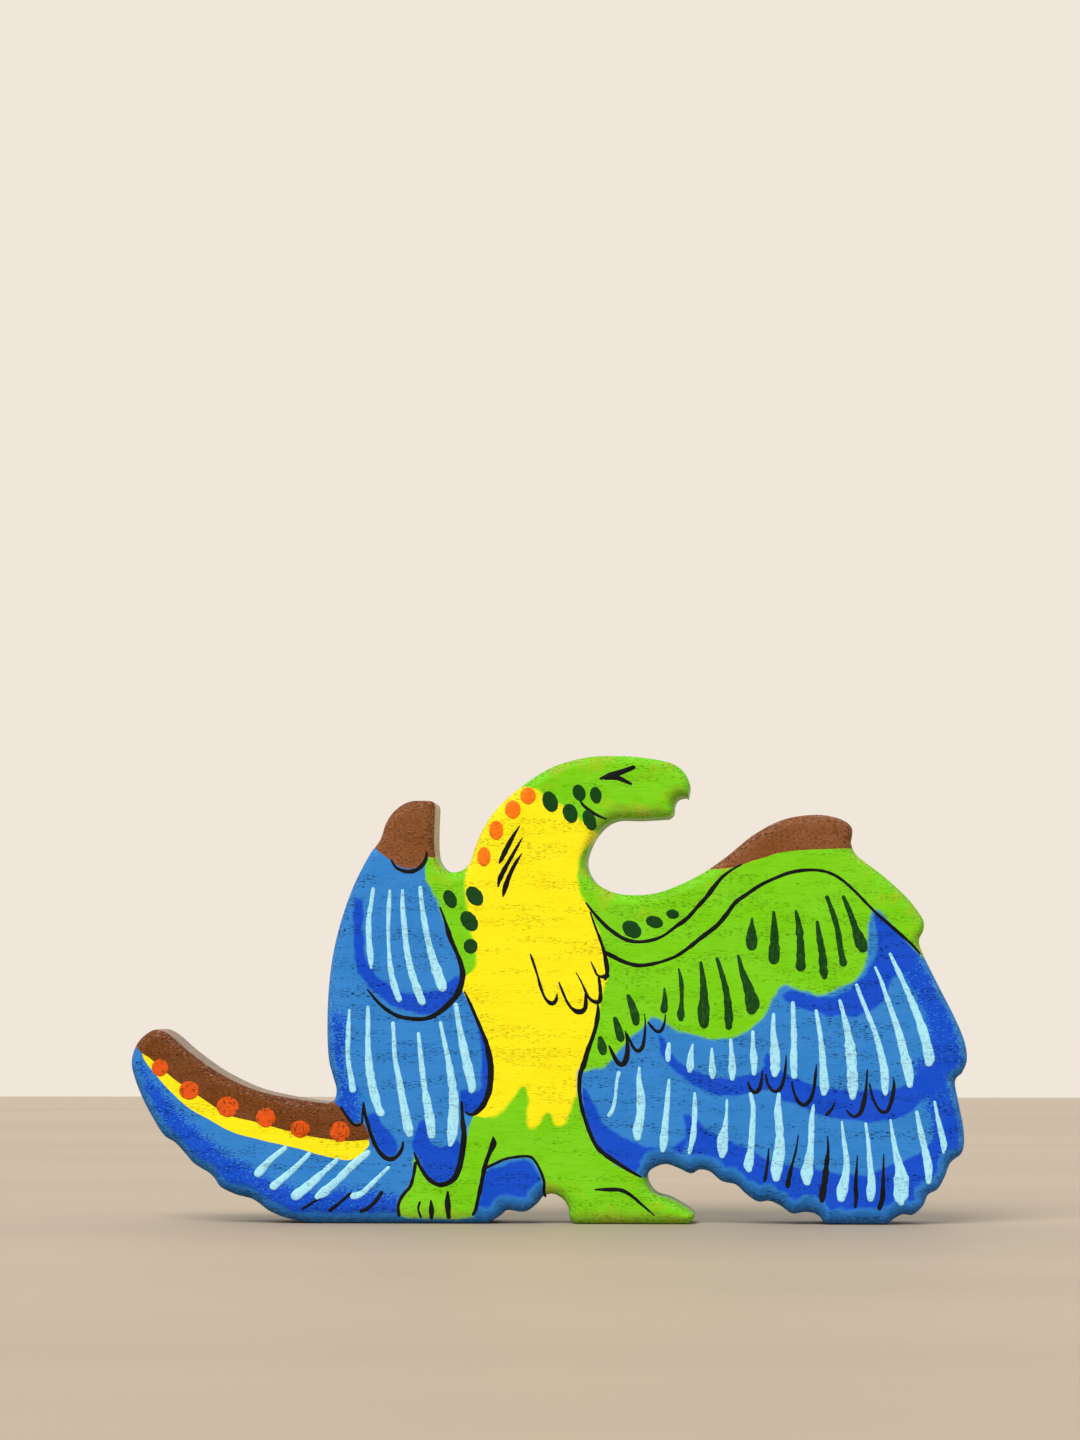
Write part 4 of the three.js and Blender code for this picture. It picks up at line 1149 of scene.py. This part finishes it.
def paint_areas():
    """The twelve colour areas, each a piece that stands for its coat."""
    flat, triangles = triangulated()
    depth = np.where(inside(flat, OUTLINE), distance_to_line(flat, OUTLINE_CLOSED), 0.0)
    depth[depth < TOUCHING] = 0.0
    marks = marks_at(flat)
    centres = flat[triangles].mean(axis=1)
    best = holder(centres, list(AREA_RINGS.values()))
    for n, (name, (slot, _)) in enumerate(AREAS.items()):
        made = coat_piece("painted_" + name.replace("_coat", ""), flat, triangles[best == n], depth, marks)
        brown, sheen_and_bareness = AREA_SHADES.get(name, (BROWN, SHEEN_AND_BARENESS))
        finish_with(made, ground_material(made.name, brown, sheen_and_bareness))
        nodes = ["tail_stripe_front", "tail_stripe_rear"] if name == "tail_stripe" else [name]
        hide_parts(*nodes)


def paint_strokes():
    """All brush work, grouped by colour and part of the figure."""
    random = np.random.default_rng(7)

    def brush(name, lines, spread, height, material):
        """One piece from many strokes of one paint."""
        made = strokes_piece(name, [stroke_mesh(line, spread, height, random) for line in lines])
        finish_with(made, material)

    for where, lines in LIGHT_BLUE_STROKES.items():
        name = "light_strokes_" + where
        brush(name, lines, LIGHT_SPREAD, LIGHT_HEIGHT, stroke_material(name, PALE_BLUE, BLUE, 0.35))
    for where, lines in BLACK_STROKES.items():
        name = "black_lines_" + where
        brush(name, lines, BLACK_SPREAD, BLACK_HEIGHT, stroke_material(name, BLACK))
    name = "dark_green_drops"
    brush(name, DARK_GREEN_DROPS, DROP_SPREAD, DROP_HEIGHT, stroke_material(name, DARK_GREEN, GREEN, 0.1))
    for name, (paint, dots) in DOTS.items():
        made = strokes_piece(name, [dot_mesh(dot, DOT_HEIGHT, random) for dot in dots])
        finish_with(made, stroke_material(name, *DOT_PAINTS[paint]))


# ---------------------------------------------------------------- camera, stage, light: metres, degrees
LENS_MM = 109.48
SENSOR_MM = 36
CAMERA_AWAY = 0.9
CAMERA_UP = 0.045
CAMERA_ROUND = 2.8        # how far it stands round towards the spread wing
CAMERA_TURN = 2.914       # where it looks: to its left and upward
CAMERA_TILT = 3.677
FLOOR_SIDE = 3.0          # the table's reach to each side and to the front
FLOOR_END = 1.17          # its far edge behind the figure
DAYLIGHT = (1.0, 0.995, 0.985)


def set_camera():
    """A long lens in front of the figure, a little towards its spread wing and close to the table."""
    data = bpy.data.cameras.new("camera")
    camera = bpy.data.objects.new("camera", data)
    bpy.context.scene.collection.objects.link(camera)
    data.sensor_fit = "VERTICAL"
    data.sensor_height = SENSOR_MM
    data.lens = LENS_MM
    data.clip_start = 0.01
    data.clip_end = 50
    turn = math.radians(CAMERA_ROUND)
    camera.location = (CAMERA_AWAY * math.sin(turn), -CAMERA_AWAY * math.cos(turn), CAMERA_UP)
    camera.rotation_euler = (math.radians(90 + CAMERA_TILT), 0, math.radians(CAMERA_TURN))
    bpy.context.scene.camera = camera


def sheet(name, corners, material):
    """A flat sheet of the stage through four corners."""
    mesh = bpy.data.meshes.new(name)
    mesh.from_pydata(corners, [], [(0, 1, 2, 3)])
    made = bpy.data.objects.new(name, mesh)
    bpy.context.scene.collection.objects.link(made)
    finish_with(made, material)


def set_stage():
    """A pale table top that ends behind the figure."""
    side = FLOOR_SIDE
    end = FLOOR_END
    sheet("floor", [(-side, -side, 0), (side, -side, 0), (side, end, 0), (-side, end, 0)],
          stage_material("pale_table", FLOOR, 0.6))


def sun(name, towards, power, spread):
    """A soft distant light that shines from a direction."""
    data = bpy.data.lights.new(name, "SUN")
    data.energy = power
    data.angle = math.radians(spread)
    data.color = DAYLIGHT
    light = bpy.data.objects.new(name, data)
    light.rotation_euler = (-Vector(towards)).to_track_quat("-Z", "Y").to_euler()
    bpy.context.scene.collection.objects.link(light)


def set_light():
    """Soft light from above and in front, in a pale room that lights more from behind."""
    sun("key", (-0.35, -0.85, 1.0), power=2.85, spread=40)
    sun("fill", (0.9, -0.6, 0.5), power=0.5, spread=60)
    world = bpy.data.worlds.new("room")
    bpy.context.scene.world = world
    world.use_nodes = True
    tree = world.node_tree
    seen = tree.nodes["Background"]
    seen.inputs["Color"].default_value = BACKDROP
    seen.inputs["Strength"].default_value = 0.98
    around = tree.nodes.new("ShaderNodeTexCoord")
    parts = tree.nodes.new("ShaderNodeSeparateXYZ")
    strength = tree.nodes.new("ShaderNodeMapRange")
    strength.inputs["From Min"].default_value = -0.1
    strength.inputs["From Max"].default_value = 0.5
    strength.inputs["To Min"].default_value = 0.28
    strength.inputs["To Max"].default_value = 0.95
    lighting = tree.nodes.new("ShaderNodeBackground")
    lighting.inputs["Color"].default_value = ROOM
    tree.links.new(around.outputs["Generated"], parts.inputs[0])
    tree.links.new(parts.outputs["Y"], strength.inputs["Value"])
    tree.links.new(strength.outputs[0], lighting.inputs["Strength"])
    rays = tree.nodes.new("ShaderNodeLightPath")
    chosen = tree.nodes.new("ShaderNodeMixShader")
    tree.links.new(rays.outputs["Is Camera Ray"], chosen.inputs[0])
    tree.links.new(lighting.outputs[0], chosen.inputs[1])
    tree.links.new(seen.outputs[0], chosen.inputs[2])
    tree.links.new(chosen.outputs[0], tree.nodes["World Output"].inputs["Surface"])
    bpy.context.scene.view_settings.view_transform = "Standard"


set_camera()
set_stage()
set_light()
finish_with(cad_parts["wood_body"], wood_material())
paint_areas()
paint_strokes()
